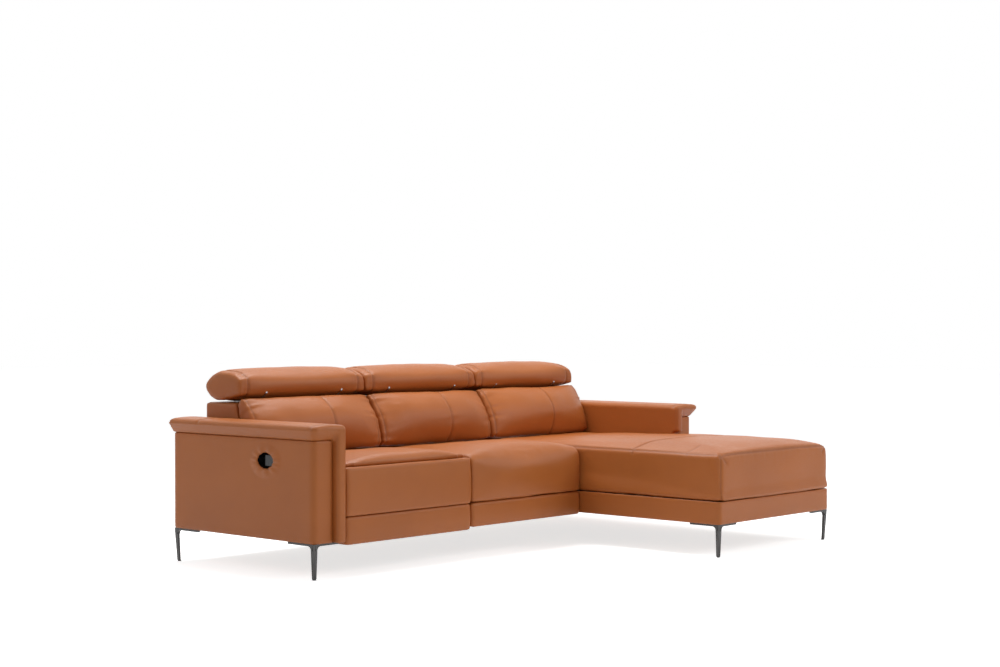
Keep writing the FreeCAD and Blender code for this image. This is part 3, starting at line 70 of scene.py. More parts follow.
# Lamps: place, point that the lamp faces, size in metres and power in watts
LAMPS = {
    "key": ((2.6, -4.2, 3.2), (0.2, 0.0, 0.3), 2.2, 80.0),
    "side": ((-4.5, 1.5, 3.2), (0.0, 0.0, 0.4), 2.4, 22.0),
    "top": ((0.2, 0.9, 4.2), (0.0, 0.0, 0.4), 2.6, 150.0),
}

# Light of the room, and the floor with the glow that makes it show white
ROOM_LIGHT = 0.33
FLOOR_HALF_SIZE = 30.0
FLOOR_CELLS = 8
FLOOR_TONE = 0.85
FLOOR_GLOW = 0.7

# Places read from the photograph, in metres
CROSS_SEAM_Y = -0.352
CREASE_Y = -0.652
BACK_SEAM_OFFSET = 0.065
ARM_REAR_SEAM_Y = 0.66
ARM_FRONT_SEAM_Y = -0.045

# Meshes: the gap that is joined up, mesh sizes, and rounds of smoothing
WELD_GAP = 1e-5
SKIN_VOXEL = 0.006
BASE_BAND_VOXEL = 0.0045
CHAISE_VOXEL = 0.0135
HEADREST_VOXEL = 0.0115
COVER_ROUNDS = 3
FILLED_ROUNDS = 2

# Filling: how far a cover is drawn in before it, how far it may push, and the cover's cloth
COVER_INSET = 0.002
FILL_CAP = 0.012
BACK_FILL_CAP = 0.016
HEADREST_FILL_CAP = 0.010
COVER_CLOTH = {
    "quality": 4,
    "mass": 0.3,
    "tension_stiffness": 15.0,
    "compression_stiffness": 8.0,
    "shear_stiffness": 5.0,
    "bending_stiffness": 0.5,
}

# Lines on a surface: the distance or the number of their points, and where the rays start
LINE_STEP = 0.006
LINE_CAST = 0.25
RING_POINTS = 110
RING_CAST = 0.4
FAR = 9.0

# Gathers: how many reaches they run, noise cells in a metre, and the sway and least of the waves
GATHER_END = 4
GATHER_CELLS = 5.0
GATHER_SWAY = 0.7
GATHER_LEAST = 0.6

# Share of a seam's width that gets painted shade, and how far the thread stands off the leather
SEAM_SHADE_SHARE = 0.6
STITCH_LIFT = 0.0003

# Leather rim over the release cup: shares of the cup's half size, then lengths, then pleats
CUP_RIM_REACH = 1.55
CUP_RIM_PULL = 0.16
CUP_PULL_LIMIT = 1.3
CUP_MIDDLE = 0.1
CUP_RIM_RISE = 0.0045
CUP_RIM_DEPTH = 0.008
CUP_PLEATS = 11
CUP_PLEAT_HEIGHT = 0.35
CUP_PLEAT_SWAY = 2

# Recliner's front lip: its height over the footrest's pad, and what of it is laid flat
LIP_REST = 0.0065
LIP_HEIGHT = 0.022
LIP_SETBACK = 0.004
LIP_SLOPE = 0.1

# How far the tops of the footrest's pad and of the bands are raised to the cushions
PAD_RAISE = 0.0055
BAND_RAISE = 0.003

# Arm's pad: its crown, and where its seams start left of it and end short of its right side
ARM_CROWN = 0.006
ARM_SEAM_START = 0.05
ARM_SEAM_END = 0.004

# Chaise: distances of its seams from its top, sides and rear, and its short crease
CHAISE_SEAM_DROP = 0.026
CHAISE_SEAM_INSET = 0.016
CHAISE_SEAM_REAR = 0.25
CREASE_RUN = 0.13
CREASE_SLANT = 0.02
CREASE_DEPTH = 0.002

# Back cushions and headrests: distances of their seams from the top and from the ends
BACK_SEAM_DROP = 0.004
BACK_RING_INSET = 0.022
HEADREST_RING_INSET = 0.046

# Leather: how dark the painted shade along its seams is, and the height of its creases beside that
# of its pores
SEAM_SHADE_DARKNESS = 0.55
CREASE_HEIGHT = 0.8

# Streaked finishes, with the number of streaks in a metre along each axis
STREAKED = {
    "thread": {
        "light": (0.40, 0.17, 0.07),
        "dark": (0.26, 0.10, 0.04),
        "scale": (900, 900, 900),
        "roughness": 0.6,
    },
    "timber": {
        "light": (0.55, 0.36, 0.18),
        "dark": (0.33, 0.19, 0.085),
        "scale": (9, 60, 60),
        "roughness": 0.62,
    },
    "black_steel": {
        "light": (0.030, 0.030, 0.033),
        "dark": (0.016, 0.016, 0.018),
        "scale": (240, 240, 240),
        "roughness": 0.42,
        "metallic": 0.4,
    },
    "zinc_steel": {
        "light": (0.62, 0.63, 0.66),
        "dark": (0.46, 0.47, 0.5),
        "scale": (40, 40, 300),
        "roughness": 0.34,
        "metallic": 1.0,
    },
    "dark_metal": {
        "light": (0.085, 0.083, 0.083),
        "dark": (0.040, 0.039, 0.039),
        "scale": (300, 300, 14),
        "roughness": 0.24,
        "metallic": 1.0,
        "bump_height": 0.0001,
    },
    "black_plastic": {
        "light": (0.012, 0.012, 0.013),
        "dark": (0.006, 0.006, 0.007),
        "scale": (700, 700, 700),
        "roughness": 0.26,
    },
}

SEATS = (1, 2, 3)
BACK_BODY = {1: "backrest_1", 2: "sofa", 3: "sofa"}


# Settings


class LeatherSettings(bpy.types.PropertyGroup):
    """Colour and surface of the leather."""

    color: bpy.props.FloatVectorProperty(
        name="Leather colour",
        description="Colour of the smooth faces",
        subtype="COLOR",
        size=3,
        default=(0.43, 0.128, 0.028),
    )
    # Random mottled patches take this colour, and so does the painted shade along the seams and the
    # chaise's crease
    mottle_and_seam_shade_color: bpy.props.FloatVectorProperty(
        name="Deep colour",
        description="Colour in the pores and along the seams",
        subtype="COLOR",
        size=3,
        default=(0.20, 0.055, 0.013),
    )
    roughness: bpy.props.FloatProperty(
        name="Roughness",
        description="Roughness of the finish",
        default=0.37,
        subtype="FACTOR",
    )
    grain: bpy.props.FloatProperty(
        name="Grain",
        description="Number of grain cells in a metre",
        default=620.0,
    )


class PaddingSettings(bpy.types.PropertyGroup):
    """How the cushions are filled."""

    voxel: bpy.props.FloatProperty(
        name="Mesh size",
        description="Size of the mesh that is filled",
        default=0.0125,
        unit="LENGTH",
    )
    pressure: bpy.props.FloatProperty(
        name="Pressure",
        description="Pressure of the filling on the cover",
        default=4.0,
    )
    frames: bpy.props.IntProperty(
        name="Frames",
        description="Frames over which the cover settles",
        default=20,
    )


class SeamSettings(bpy.types.PropertyGroup):
    """Sewn seams and their stitches."""

    depth: bpy.props.FloatProperty(
        name="Seam depth",
        description="How far a seam draws the leather in",
        default=0.0045,
        unit="LENGTH",
    )
    width: bpy.props.FloatProperty(
        name="Seam width",
        description="Half the width of the hollow along a seam",
        default=0.007,
        unit="LENGTH",
    )
    stitch: bpy.props.FloatProperty(
        name="Stitch length",
        description="Length of one stitch",
        default=0.0055,
        unit="LENGTH",
    )
    pitch: bpy.props.FloatProperty(
        name="Stitch pitch",
        description="Distance from one stitch to the next",
        default=0.008,
        unit="LENGTH",
    )
    thread: bpy.props.FloatProperty(
        name="Thread",
        description="Radius of the thread",
        default=0.0007,
        unit="LENGTH",
    )
    offset: bpy.props.FloatProperty(
        name="Stitch offset",
        description="Distance from a seam to its row of stitches",
        default=0.007,
        unit="LENGTH",
    )


# Mesh helpers


def new_piece(name, mesh):
    """A new object in the scene for a mesh that is already in place."""
    piece = bpy.data.objects.new(name, mesh)
    bpy.context.scene.collection.objects.link(piece)
    return piece


def merged_copy(node, name):
    """A new piece from a CAD node's mesh, with its loose triangles joined up."""
    mesh = frame["nodes"][node].data.copy()
    mesh.materials.clear()
    shape = bmesh.new()
    shape.from_mesh(mesh)
    bmesh.ops.remove_doubles(shape, verts=shape.verts, dist=WELD_GAP)
    shape.to_mesh(mesh)
    shape.free()
    return new_piece(name, mesh)


def bake_modifiers(piece):
    """Turns the evaluated piece into its own plain mesh."""
    graph = bpy.context.evaluated_depsgraph_get()
    mesh = bpy.data.meshes.new_from_object(piece.evaluated_get(graph))
    piece.modifiers.clear()
    old = piece.data
    piece.data = mesh
    mesh.name = piece.name
    bpy.data.meshes.remove(old)


def points_of(piece):
    """The piece's vertices as an array."""
    flat = np.empty(len(piece.data.vertices) * 3)
    piece.data.vertices.foreach_get("co", flat)
    return flat.reshape(-1, 3)


def normals_of(piece):
    """The piece's vertex normals as an array."""
    flat = np.empty(len(piece.data.vertices) * 3)
    piece.data.vertex_normals.foreach_get("vector", flat)
    return flat.reshape(-1, 3)


def set_points(piece, points):
    """Puts the piece's vertices at these points."""
    piece.data.vertices.foreach_set("co", points.ravel())
    piece.data.update()


def remesh(piece, voxel, rounds):
    """An even mesh over the piece, relaxed so that its edges round off."""
    cells = piece.modifiers.new("Even mesh", "REMESH")
    cells.mode = "VOXEL"
    cells.voxel_size = voxel
    cells.use_smooth_shade = True
    bake_modifiers(piece)
    relax(piece, rounds)


def relax(piece, rounds):
    """Smooths the piece's mesh."""
    smooth = piece.modifiers.new("Relax", "SMOOTH")
    smooth.factor = 0.5
    smooth.iterations = rounds
    bake_modifiers(piece)


def subdivide(piece):
    """One level of subdivision, baked in."""
    finer = piece.modifiers.new("Finer", "SUBSURF")
    finer.levels = 1
    finer.render_levels = 1
    bake_modifiers(piece)


def smooth_shading(piece):
    """Smooth shading over the whole piece."""
    piece.data.polygons.foreach_set("use_smooth", [True] * len(piece.data.polygons))


def near_sides(points, low, high, sides, reach):
    """Which points lie within reach of the named sides of a box, such as -z or +y."""
    found = np.zeros(len(points), bool)
    for side in sides:
        axis = "xyz".index(side[1])
        if side[0] == "-":
            found |= points[:, axis] < low[axis] + reach
        else:
            found |= points[:, axis] > high[axis] - reach
    return found


def hold_to_sides(points, low, high, sides):
    """Keeps the points from passing the named sides of a box."""
    for side in sides:
        axis = "xyz".index(side[1])
        if side[0] == "-":
            points[:, axis] = np.maximum(points[:, axis], low[axis])
        else:
            points[:, axis] = np.minimum(points[:, axis], high[axis])
    return points


def fill_cushion(piece, held, cap):
    """Fills the cover by a cloth simulation. The held sides rest on something and stay flat."""
    settings = bpy.context.scene.sofa_padding
    start = points_of(piece)
    low = start.min(0)
    high = start.max(0)
    group = piece.vertex_groups.new(name="held")
    pinned = near_sides(start, low, high, held, settings.voxel)
    group.add(np.nonzero(pinned)[0].tolist(), 1.0, "REPLACE")
    cloth = piece.modifiers.new("Filling", "CLOTH")
    cover = cloth.settings
    for name, value in COVER_CLOTH.items():
        setattr(cover, name, value)
    cover.use_pressure = True
    cover.uniform_pressure_force = settings.pressure
    cover.effector_weights.gravity = 0.0
    cover.vertex_group_mass = "held"
    cloth.point_cache.frame_start = 1
    cloth.point_cache.frame_end = settings.frames
    scene = bpy.context.scene
    for step in range(1, settings.frames + 1):
        scene.frame_set(step)
    bake_modifiers(piece)
    scene.frame_set(1)
    piece.vertex_groups.clear()
    moved = points_of(piece) - start
    length = np.linalg.norm(moved, axis=1)
    share = np.minimum(1.0, cap / np.maximum(length, 1e-9))
    set_points(piece, start + moved * share[:, None])


def pad(node, held, cap=FILL_CAP, voxel=None):
    """A padded piece over a CAD node: evened, filled, and made finer."""
    settings = bpy.context.scene.sofa_padding
    low, high = (np.array(corner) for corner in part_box(node))
    piece = merged_copy(node, "pad_" + node)
    remesh(piece, voxel or settings.voxel, COVER_ROUNDS)
    free = ~near_sides(points_of(piece), low, high, held, settings.voxel)
    set_points(piece, points_of(piece) - normals_of(piece) * (free * COVER_INSET)[:, None])
    fill_cushion(piece, held, cap)
    relax(piece, FILLED_ROUNDS)
    subdivide(piece)
    set_points(piece, hold_to_sides(points_of(piece), low, high, held))
    smooth_shading(piece)
    return piece


def skin(node, rounds, voxel=SKIN_VOXEL):
    """A leather skin drawn over a rigid CAD node, with soft edges."""
    low, high = (np.array(corner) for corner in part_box(node))
    piece = merged_copy(node, "skin_" + node)
    remesh(piece, voxel, rounds)
    set_points(piece, np.clip(points_of(piece), low, high))
    smooth_shading(piece)
    return piece


# Seams


def stretch(piece, side, amount, reach):
    """Moves the points near one side of the piece outwards, fading inwards over reach."""
    points = points_of(piece)
    axis = "xyz".index(side[1])
    way = -1.0 if side[0] == "-" else 1.0
    edge = (points[:, axis] * way).max()
    share = np.clip(1 - (edge - points[:, axis] * way) / reach, 0, 1)
    points[:, axis] += way * amount * share * share * (3 - 2 * share)
    set_points(piece, points)


def puff(piece, amount):
    """Crowns the upward faces of a piece from its left side to its right."""
    points = points_of(piece)
    normals = normals_of(piece)
    low = points[:, 0].min()
    share = (points[:, 0] - low) / (points[:, 0].max() - low)
    crown = 1 - (2 * share - 1) ** 2
    points[:, 2] += amount * crown * np.clip(normals[:, 2], 0, 1) ** 2
    set_points(piece, points)


def tree_of(piece):
    """A search tree of the piece's faces."""
    vertices = [v.co.copy() for v in piece.data.vertices]
    return BVHTree.FromPolygons(vertices, [tuple(p.vertices) for p in piece.data.polygons])


def cast_line(tree, corners, way):
    """Points on the surface below a line of corners, seen along a way, with their normals."""
    direction = Vector(way).normalized()
    found = []
    for start, end in zip(corners, corners[1:]):
        a = Vector(start)
        b = Vector(end)
        count = max(1, round((b - a).length / LINE_STEP))
        for i in range(count + (end is corners[-1])):
            target = a.lerp(b, i / count)
            hit = tree.ray_cast(target - direction * LINE_CAST, direction)
            if hit[0] is not None:
                found.append((hit[0], hit[1]))
    return found


def cast_ring(tree, x, centre):
    """A closed line round the piece in the plane X = x, with its normals."""
    found = []
    for i in range(RING_POINTS + 1):
        turn = 2 * math.pi * i / RING_POINTS
        out = Vector((0, math.cos(turn), math.sin(turn)))
        origin = Vector((x, centre[0], centre[1])) + out * RING_CAST
        hit = tree.ray_cast(origin, -out)
        if hit[0] is not None:
            found.append((hit[0], hit[1]))
    return found


def distances_to(points, line, reach):
    """Distance of each point to a line of points, and how far along the line that is."""
    best = np.full(len(points), FAR)
    along = np.zeros(len(points))
    corners = np.array([p for p, n in line])
    low = corners.min(0) - reach
    high = corners.max(0) + reach
    near = np.nonzero(((points > low) & (points < high)).all(1))[0]
    run = 0.0
    for a, b in zip(corners, corners[1:]):
        edge = b - a
        length = np.linalg.norm(edge)
        if length < 1e-6:
            continue
        share = np.clip((points[near] - a) @ edge / length**2, 0, 1)
        gap = np.linalg.norm(points[near] - a - share[:, None] * edge, axis=1)
        closer = gap < best[near]
        best[near[closer]] = gap[closer]
        along[near[closer]] = run + share[closer] * length
        run += length
    return best, along


def sew(piece, lines, gather=0.0, gather_reach=0.03, pitch=0.05, depth=None):
    """Draws the leather in along the lines, gathers it beside them and paints shade along the
    seams.
    """
    settings = bpy.context.scene.sofa_seams
    depth = settings.depth if depth is None else depth
    points = points_of(piece)
    normals = normals_of(piece)
    shade_marks = np.zeros(len(points))
    press = np.zeros(len(points))
    for line in lines:
        gap, along = distances_to(points, line, GATHER_END * gather_reach)
        hollow = np.exp(-((gap / settings.width) ** 2))
        press = np.maximum(press, hollow * depth)
        # Painted shade: a dark mark along each line, over the middle of its hollow, kept in a point
        # attribute
        shade_marks = np.maximum(shade_marks, np.exp(-((gap / (SEAM_SHADE_SHARE * settings.width)) ** 2)))
        if gather:
            share = np.exp(-gap / gather_reach) * (gap < GATHER_END * gather_reach)
            wave = gather_waves(points, along, pitch)
            press += gather * share * (0.5 + wave) * (1 - hollow)
    set_points(piece, points - normals * press[:, None])
    attribute = piece.data.attributes.get("seam_shade") or piece.data.attributes.new(
        "seam_shade", "FLOAT", "POINT"
    )
    before = np.zeros(len(points), np.float32)
    attribute.data.foreach_get("value", before)
    attribute.data.foreach_set("value", np.maximum(before, shade_marks).astype(np.float32))


def gather_waves(points, along, pitch):
    """Uneven waves along a seam, of about half a unit up and down."""
    waves = np.empty(len(points))
    for i, s in enumerate(along):
        if s == 0.0:
            waves[i] = 0.0
            continue
        p = points[i]
        spread = noise.noise(Vector((s / pitch, p[0] * GATHER_CELLS, p[2] * GATHER_CELLS)))
        turn = 2 * math.pi * (s / pitch + GATHER_SWAY * spread)
        waves[i] = 0.5 * math.sin(turn) * (GATHER_LEAST + spread)
    return waves


def soft_dents(piece, depth, size, seed):
    """Broad uneven dents of a cover that has been sat on."""
    points = points_of(piece)
    normals = normals_of(piece)
    shift = Vector((seed, 2 * seed, 3 * seed))
    waves = np.array([noise.noise(Vector(p) / size + shift) for p in points])
    set_points(piece, points + normals * (waves * depth)[:, None])


# Node helpers


def new_tree(name, kind, inputs, outputs):
    """A node tree with its sockets, and its input and output nodes."""
    tree = bpy.data.node_groups.new(name, kind)
    for way, sockets in (("INPUT", inputs), ("OUTPUT", outputs)):
        for label, socket in sockets.items():
            tree.interface.new_socket(name=label, in_out=way, socket_type="NodeSocket" + socket)
    given = tree.nodes.new("NodeGroupInput")
    result = tree.nodes.new("NodeGroupOutput")
    return tree, given, result


def value_node(nodes, kind, **inputs):
    """A node with its input values set by name."""
    node = nodes.new(kind)
    for name, value in inputs.items():
        node.inputs[name.replace("_", " ")].default_value = value
    return node


def math_node(nodes, operation, second=None):
    """A math node, with its second value where that is fixed."""
    node = nodes.new("ShaderNodeMath")
    node.operation = operation
    if second is not None:
        node.inputs[1].default_value = second
    return node


def wire(links, *wires):
    """Links nodes. A wire is a node, its output, the next node and its input."""
    for start, output, end, socket in wires:
        links.new(start.outputs[output], end.inputs[socket])


def mixed(tree, share, first, second):
    """The colour output of a mix of two colours."""
    node = tree.nodes.new("ShaderNodeMix")
    node.data_type = "RGBA"
    sockets = {socket.identifier: socket for socket in node.inputs}
    tree.links.new(share, sockets["Factor_Float"])
    tree.links.new(first, sockets["A_Color"])
    tree.links.new(second, sockets["B_Color"])
    return next(s for s in node.outputs if s.identifier == "Result_Color")


def tone_ramp(nodes, dark, light, start=0.0, end=1.0):
    """A ramp from a dark tone to a light one."""
    ramp = nodes.new("ShaderNodeValToRGB")
    dark_stop, light_stop = ramp.color_ramp.elements
    dark_stop.position = start
    dark_stop.color = (*dark, 1.0)
    light_stop.position = end
    light_stop.color = (*light, 1.0)
    return ramp


# Stitches


def stitch_tree():
    """The node tree that lays stitches along a curve."""
    tree = bpy.data.node_groups.get("Stitch row")
    if tree:
        return tree
    inputs = {
        "Geometry": "Geometry",
        "Pitch": "Float",
        "Length": "Float",
        "Thread": "Float",
        "Material": "Material",
    }
    outputs = {"Geometry": "Geometry"}
    tree, given, result = new_tree("Stitch row", "GeometryNodeTree", inputs, outputs)
    nodes = tree.nodes
    spaced = nodes.new("GeometryNodeResampleCurve")
    spaced.mode = "LENGTH"
    thread = value_node(nodes, "GeometryNodeMeshIcoSphere", Radius=1.0, Subdivisions=1)
    size = nodes.new("ShaderNodeCombineXYZ")
    half = math_node(nodes, "MULTIPLY", 0.5)
    place = nodes.new("GeometryNodeInstanceOnPoints")
    tangent = nodes.new("GeometryNodeInputTangent")
    turn = nodes.new("FunctionNodeAlignEulerToVector")
    turn.axis = "X"
    real = nodes.new("GeometryNodeRealizeInstances")
    finish = nodes.new("GeometryNodeSetMaterial")
    wire(
        tree.links,
        (given, "Geometry", spaced, "Curve"),
        (given, "Pitch", spaced, "Length"),
        (spaced, "Curve", place, "Points"),
        (thread, "Mesh", place, "Instance"),
        (tangent, "Tangent", turn, "Vector"),
        (turn, "Rotation", place, "Rotation"),
        (given, "Length", half, 0),
        (half, "Value", size, "X"),
        (given, "Thread", size, "Y"),
        (given, "Thread", size, "Z"),
        (size, "Vector", place, "Scale"),
        (place, "Instances", real, "Geometry"),
        (real, "Geometry", finish, "Geometry"),
        (given, "Material", finish, "Material"),
        (finish, "Geometry", result, "Geometry"),
    )
    return tree


def beside(tree, line, offset):
    """A line on the surface at one side of another, for a row of stitches."""
    moved = []
    for i, (point, normal) in enumerate(line):
        ahead = line[min(i + 1, len(line) - 1)][0] - line[max(i - 1, 0)][0]
        side = normal.cross(ahead)
        if side.length < 1e-9:
            continue
        hit = tree.find_nearest(point + side.normalized() * offset)
        moved.append(hit[0] + hit[1] * STITCH_LIFT)
    return moved


def stitch(piece, name, lines, body):
    """A row of stitches beside each line, as one mesh that moves with a body."""
    settings = bpy.context.scene.sofa_seams
    tree = tree_of(piece)
    curve = bpy.data.curves.new(name, "CURVE")
    curve.dimensions = "3D"
    for line in lines:
        row = beside(tree, line, settings.offset)
        if len(row) < 2:
            continue
        spline = curve.splines.new("POLY")
        spline.points.add(len(row) - 1)
        for knot, place in zip(spline.points, row):
            knot.co = (*place, 1.0)
    rows = new_piece(name, curve)
    maker = rows.modifiers.new("Stitches", "NODES")
    maker.node_group = stitch_tree()
    values = {
        "Pitch": settings.pitch,
        "Length": settings.stitch,
        "Thread": settings.thread,
        "Material": material("thread"),
    }
    for item in maker.node_group.interface.items_tree:
        if item.in_out == "INPUT" and item.name in values:
            maker[item.identifier] = values[item.name]
    graph = bpy.context.evaluated_depsgraph_get()
    mesh = bpy.data.meshes.new_from_object(rows.evaluated_get(graph))
    bpy.data.objects.remove(rows)
    done = new_piece(name, mesh)
    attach(done, body)


# Materials


def grain_group():
    """Shader group for the grain of the leather: a colour with random patches and painted shade
    along the seams, a roughness and a height.
    """
    tree = bpy.data.node_groups.get("Leather grain")
    if tree:
        return tree
    inputs = {"Color": "Color", "Mottle And Seam Shade Color": "Color", "Grain": "Float", "Roughness": "Float"}
    outputs = {"Color": "Color", "Roughness": "Float", "Height": "Float"}
    tree, given, result = new_tree("Leather grain", "ShaderNodeTree", inputs, outputs)
    nodes = tree.nodes
    place = nodes.new("ShaderNodeTexCoord")
    cells = nodes.new("ShaderNodeTexVoronoi")
    cells.feature = "DISTANCE_TO_EDGE"
    pores = value_node(nodes, "ShaderNodeMapRange", From_Min=0.0, From_Max=0.18)
    creases = value_node(nodes, "ShaderNodeTexNoise", Scale=95.0, Detail=6.0, Roughness=0.62)
    patches = value_node(nodes, "ShaderNodeTexNoise", Scale=3.2, Detail=3.0, Roughness=0.55)
    patch_share = value_node(
        nodes, "ShaderNodeMapRange", From_Min=0.3, From_Max=0.75, To_Min=0.0, To_Max=0.22
    )
    # Painted shade: the point attribute darkens the leather along the seams and the crease
    seam_shade = nodes.new("ShaderNodeAttribute")
    seam_shade.attribute_name = "seam_shade"
    seam_shade_share = math_node(nodes, "MULTIPLY", SEAM_SHADE_DARKNESS)
    rough = value_node(
        nodes, "ShaderNodeMapRange", From_Min=0.3, From_Max=0.7, To_Min=-0.05, To_Max=0.06
    )
    rough_sum = math_node(nodes, "ADD")
    height = math_node(nodes, "MULTIPLY_ADD", CREASE_HEIGHT)
    mottle_and_seam_shade = given.outputs["Mottle And Seam Shade Color"]
    mottled = mixed(tree, patch_share.outputs["Result"], given.outputs["Color"], mottle_and_seam_shade)
    seam_shaded = mixed(tree, seam_shade_share.outputs["Value"], mottled, mottle_and_seam_shade)
    tree.links.new(seam_shaded, result.inputs["Color"])
    wire(
        tree.links,
        (place, "Object", cells, "Vector"),
        (place, "Object", creases, "Vector"),
        (place, "Object", patches, "Vector"),
        (given, "Grain", cells, "Scale"),
        (cells, "Distance", pores, "Value"),
        (patches, "Fac", patch_share, "Value"),
        (seam_shade, "Fac", seam_shade_share, 0),
        (creases, "Fac", rough, "Value"),
        (rough, "Result", rough_sum, 0),
        (given, "Roughness", rough_sum, 1),
        (creases, "Fac", height, 0),
        (pores, "Result", height, 2),
        (rough_sum, "Value", result, "Roughness"),
        (height, "Value", result, "Height"),
    )
    return tree


def start_material(name):
    """An empty material with a Principled shader, and its nodes and links."""
    made = bpy.data.materials.new("finish_" + name)
    made.use_nodes = True
    nodes = made.node_tree.nodes
    nodes.clear()
    shader = nodes.new("ShaderNodeBsdfPrincipled")
    output = nodes.new("ShaderNodeOutputMaterial")
    made.node_tree.links.new(shader.outputs["BSDF"], output.inputs["Surface"])
    return made, shader, nodes, made.node_tree.links


def leather():
    """Smooth tan leather with a fine grain."""
    settings = bpy.context.scene.sofa_leather
    made, shader, nodes, links = start_material("leather")
    grain = nodes.new("ShaderNodeGroup")
    grain.node_tree = grain_group()
    grain.inputs["Color"].default_value = (*settings.color, 1.0)
    # The second colour gives the random mottled patches and the painted shade along the seams
    grain.inputs["Mottle And Seam Shade Color"].default_value = (*settings.mottle_and_seam_shade_color, 1.0)
    grain.inputs["Grain"].default_value = settings.grain
    grain.inputs["Roughness"].default_value = settings.roughness
    shader.inputs["Specular IOR Level"].default_value = 0.28
    bump = value_node(nodes, "ShaderNodeBump", Strength=0.22, Distance=0.0006)
    wire(
        links,
        (grain, "Color", shader, "Base Color"),
        (grain, "Roughness", shader, "Roughness"),
        (grain, "Height", bump, "Height"),
        (bump, "Normal", shader, "Normal"),
    )
    return made


def streaked(name, light, dark, scale, roughness, metallic=0.0, bump_height=0.0004):
    """A material with fine streaks, such as timber, thread, plastic or brushed metal."""
    made, shader, nodes, links = start_material(name)
    shader.inputs["Metallic"].default_value = metallic
    place = nodes.new("ShaderNodeTexCoord")
    mapping = value_node(nodes, "ShaderNodeMapping", Scale=scale)
    streaks = value_node(nodes, "ShaderNodeTexNoise", Scale=1.0, Detail=7.0, Roughness=0.6)
    tones = tone_ramp(nodes, dark, light, start=0.32, end=0.68)
    rough = value_node(
        nodes,
        "ShaderNodeMapRange",
        From_Min=0.3,
        From_Max=0.7,
        To_Min=roughness - 0.06,
        To_Max=roughness + 0.08,
    )
    bump = value_node(nodes, "ShaderNodeBump", Strength=0.35, Distance=bump_height)
    wire(
        links,
        (place, "Object", mapping, "Vector"),
        (mapping, "Vector", streaks, "Vector"),
        (streaks, "Fac", tones, "Fac"),
        (tones, "Color", shader, "Base Color"),
        (streaks, "Fac", rough, "Value"),
        (rough, "Result", shader, "Roughness"),
        (streaks, "Fac", bump, "Height"),
        (bump, "Normal", shader, "Normal"),
    )
    return made


def webbing():
    """Dark elastic webbing with a visible weave."""
    made, shader, nodes, links = start_material("webbing")
    shader.inputs["Roughness"].default_value = 0.82
    place = nodes.new("ShaderNodeTexCoord")
    warp = value_node(nodes, "ShaderNodeTexWave", Scale=90.0, Distortion=0.4)
    warp.bands_direction = "X"
    weft = value_node(nodes, "ShaderNodeTexWave", Scale=90.0, Distortion=0.4)
    weft.bands_direction = "Y"
    weave = math_node(nodes, "MULTIPLY")
    tones = tone_ramp(nodes, (0.012, 0.012, 0.014), (0.075, 0.07, 0.065))
    bump = value_node(nodes, "ShaderNodeBump", Strength=0.6, Distance=0.0006)
    wire(
        links,
        (place, "Object", warp, "Vector"),
        (place, "Object", weft, "Vector"),
        (warp, "Fac", weave, 0),
        (weft, "Fac", weave, 1),
        (weave, "Value", tones, "Fac"),
        (tones, "Color", shader, "Base Color"),
        (weave, "Value", bump, "Height"),
        (bump, "Normal", shader, "Normal"),
    )
    return made


def material(name):
    """One of the finishes, made the first time that it is asked for."""
    made = bpy.data.materials.get("finish_" + name)
    if made:
        return made
    if name in STREAKED:
        return streaked(name, **STREAKED[name])
    return {"leather": leather, "webbing": webbing}[name]()


def upholster(piece, node, body):
    """Leather on a piece that stands for a CAD node and moves with a body."""
    piece.data.materials.clear()
    piece.data.materials.append(material("leather"))
    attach(piece, body)
    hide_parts(node)


def paint_nodes(finish, nodes):
    """A finish on CAD nodes that stay as they are."""
    for node in nodes:
        mesh = frame["nodes"][node].data
        mesh.materials.clear()
        mesh.materials.append(material(finish))


# Pieces


def pucker(panel):
    """Draws the arm's leather over the rim of the release cup, with small pleats around it."""
    low, high = (np.array(corner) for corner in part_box("release_cup"))
    middle = (low + high) / 2
    half = (high - low) / 2
    points = points_of(panel)
    across = (points[:, 1] - middle[1]) / half[1]
    up = (points[:, 2] - middle[2]) / half[2]
    out = np.hypot(across, up)
    turn = np.arctan2(up, across)
    outer = points[:, 0] < low[0] + CUP_RIM_DEPTH
    near = outer & (out < CUP_RIM_REACH)
    share = np.clip((CUP_RIM_REACH - out) / (CUP_RIM_REACH - 1.0), 0, CUP_PULL_LIMIT)
    sway = CUP_PLEAT_SWAY * np.sin(2 * turn)
    pleats = 1 + CUP_PLEAT_HEIGHT * np.sin(turn * CUP_PLEATS + sway)
    points[near, 0] -= (CUP_RIM_RISE * np.sin(np.minimum(share, 1) * math.pi / 2) * pleats)[near]
    pull = CUP_RIM_PULL * share
    points[near, 1] -= (pull * half[1] * across / np.maximum(out, CUP_MIDDLE))[near]
    points[near, 2] -= (pull * half[2] * up / np.maximum(out, CUP_MIDDLE))[near]
    set_points(panel, points)


def make_arms():
    """Both arms: the outer panel, the inner pad with its lip, and the seams over the pad."""
    for side in ("left", "right"):
        panel = skin(f"{side}_arm_panel", rounds=3)
        if side == "left":
            pucker(panel)
        upholster(panel, f"{side}_arm_panel", "sofa")
        node = f"{side}_arm_pad"
        low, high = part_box(node)
        arm = skin(node, rounds=5)
        puff(arm, ARM_CROWN)
        tree = tree_of(arm)
        start = low.x - ARM_SEAM_START
        end = high.x - ARM_SEAM_END
        lines = [
            cast_line(tree, [(start, y, high.z), (end, y, high.z)], (0.0, 0.0, -1.0))
            for y in (ARM_REAR_SEAM_Y, ARM_FRONT_SEAM_Y)
        ]
        sew(arm, lines, gather=0.0012)
        upholster(arm, node, "sofa")
        stitch(arm, f"stitches_{side}_arm", lines, "sofa")


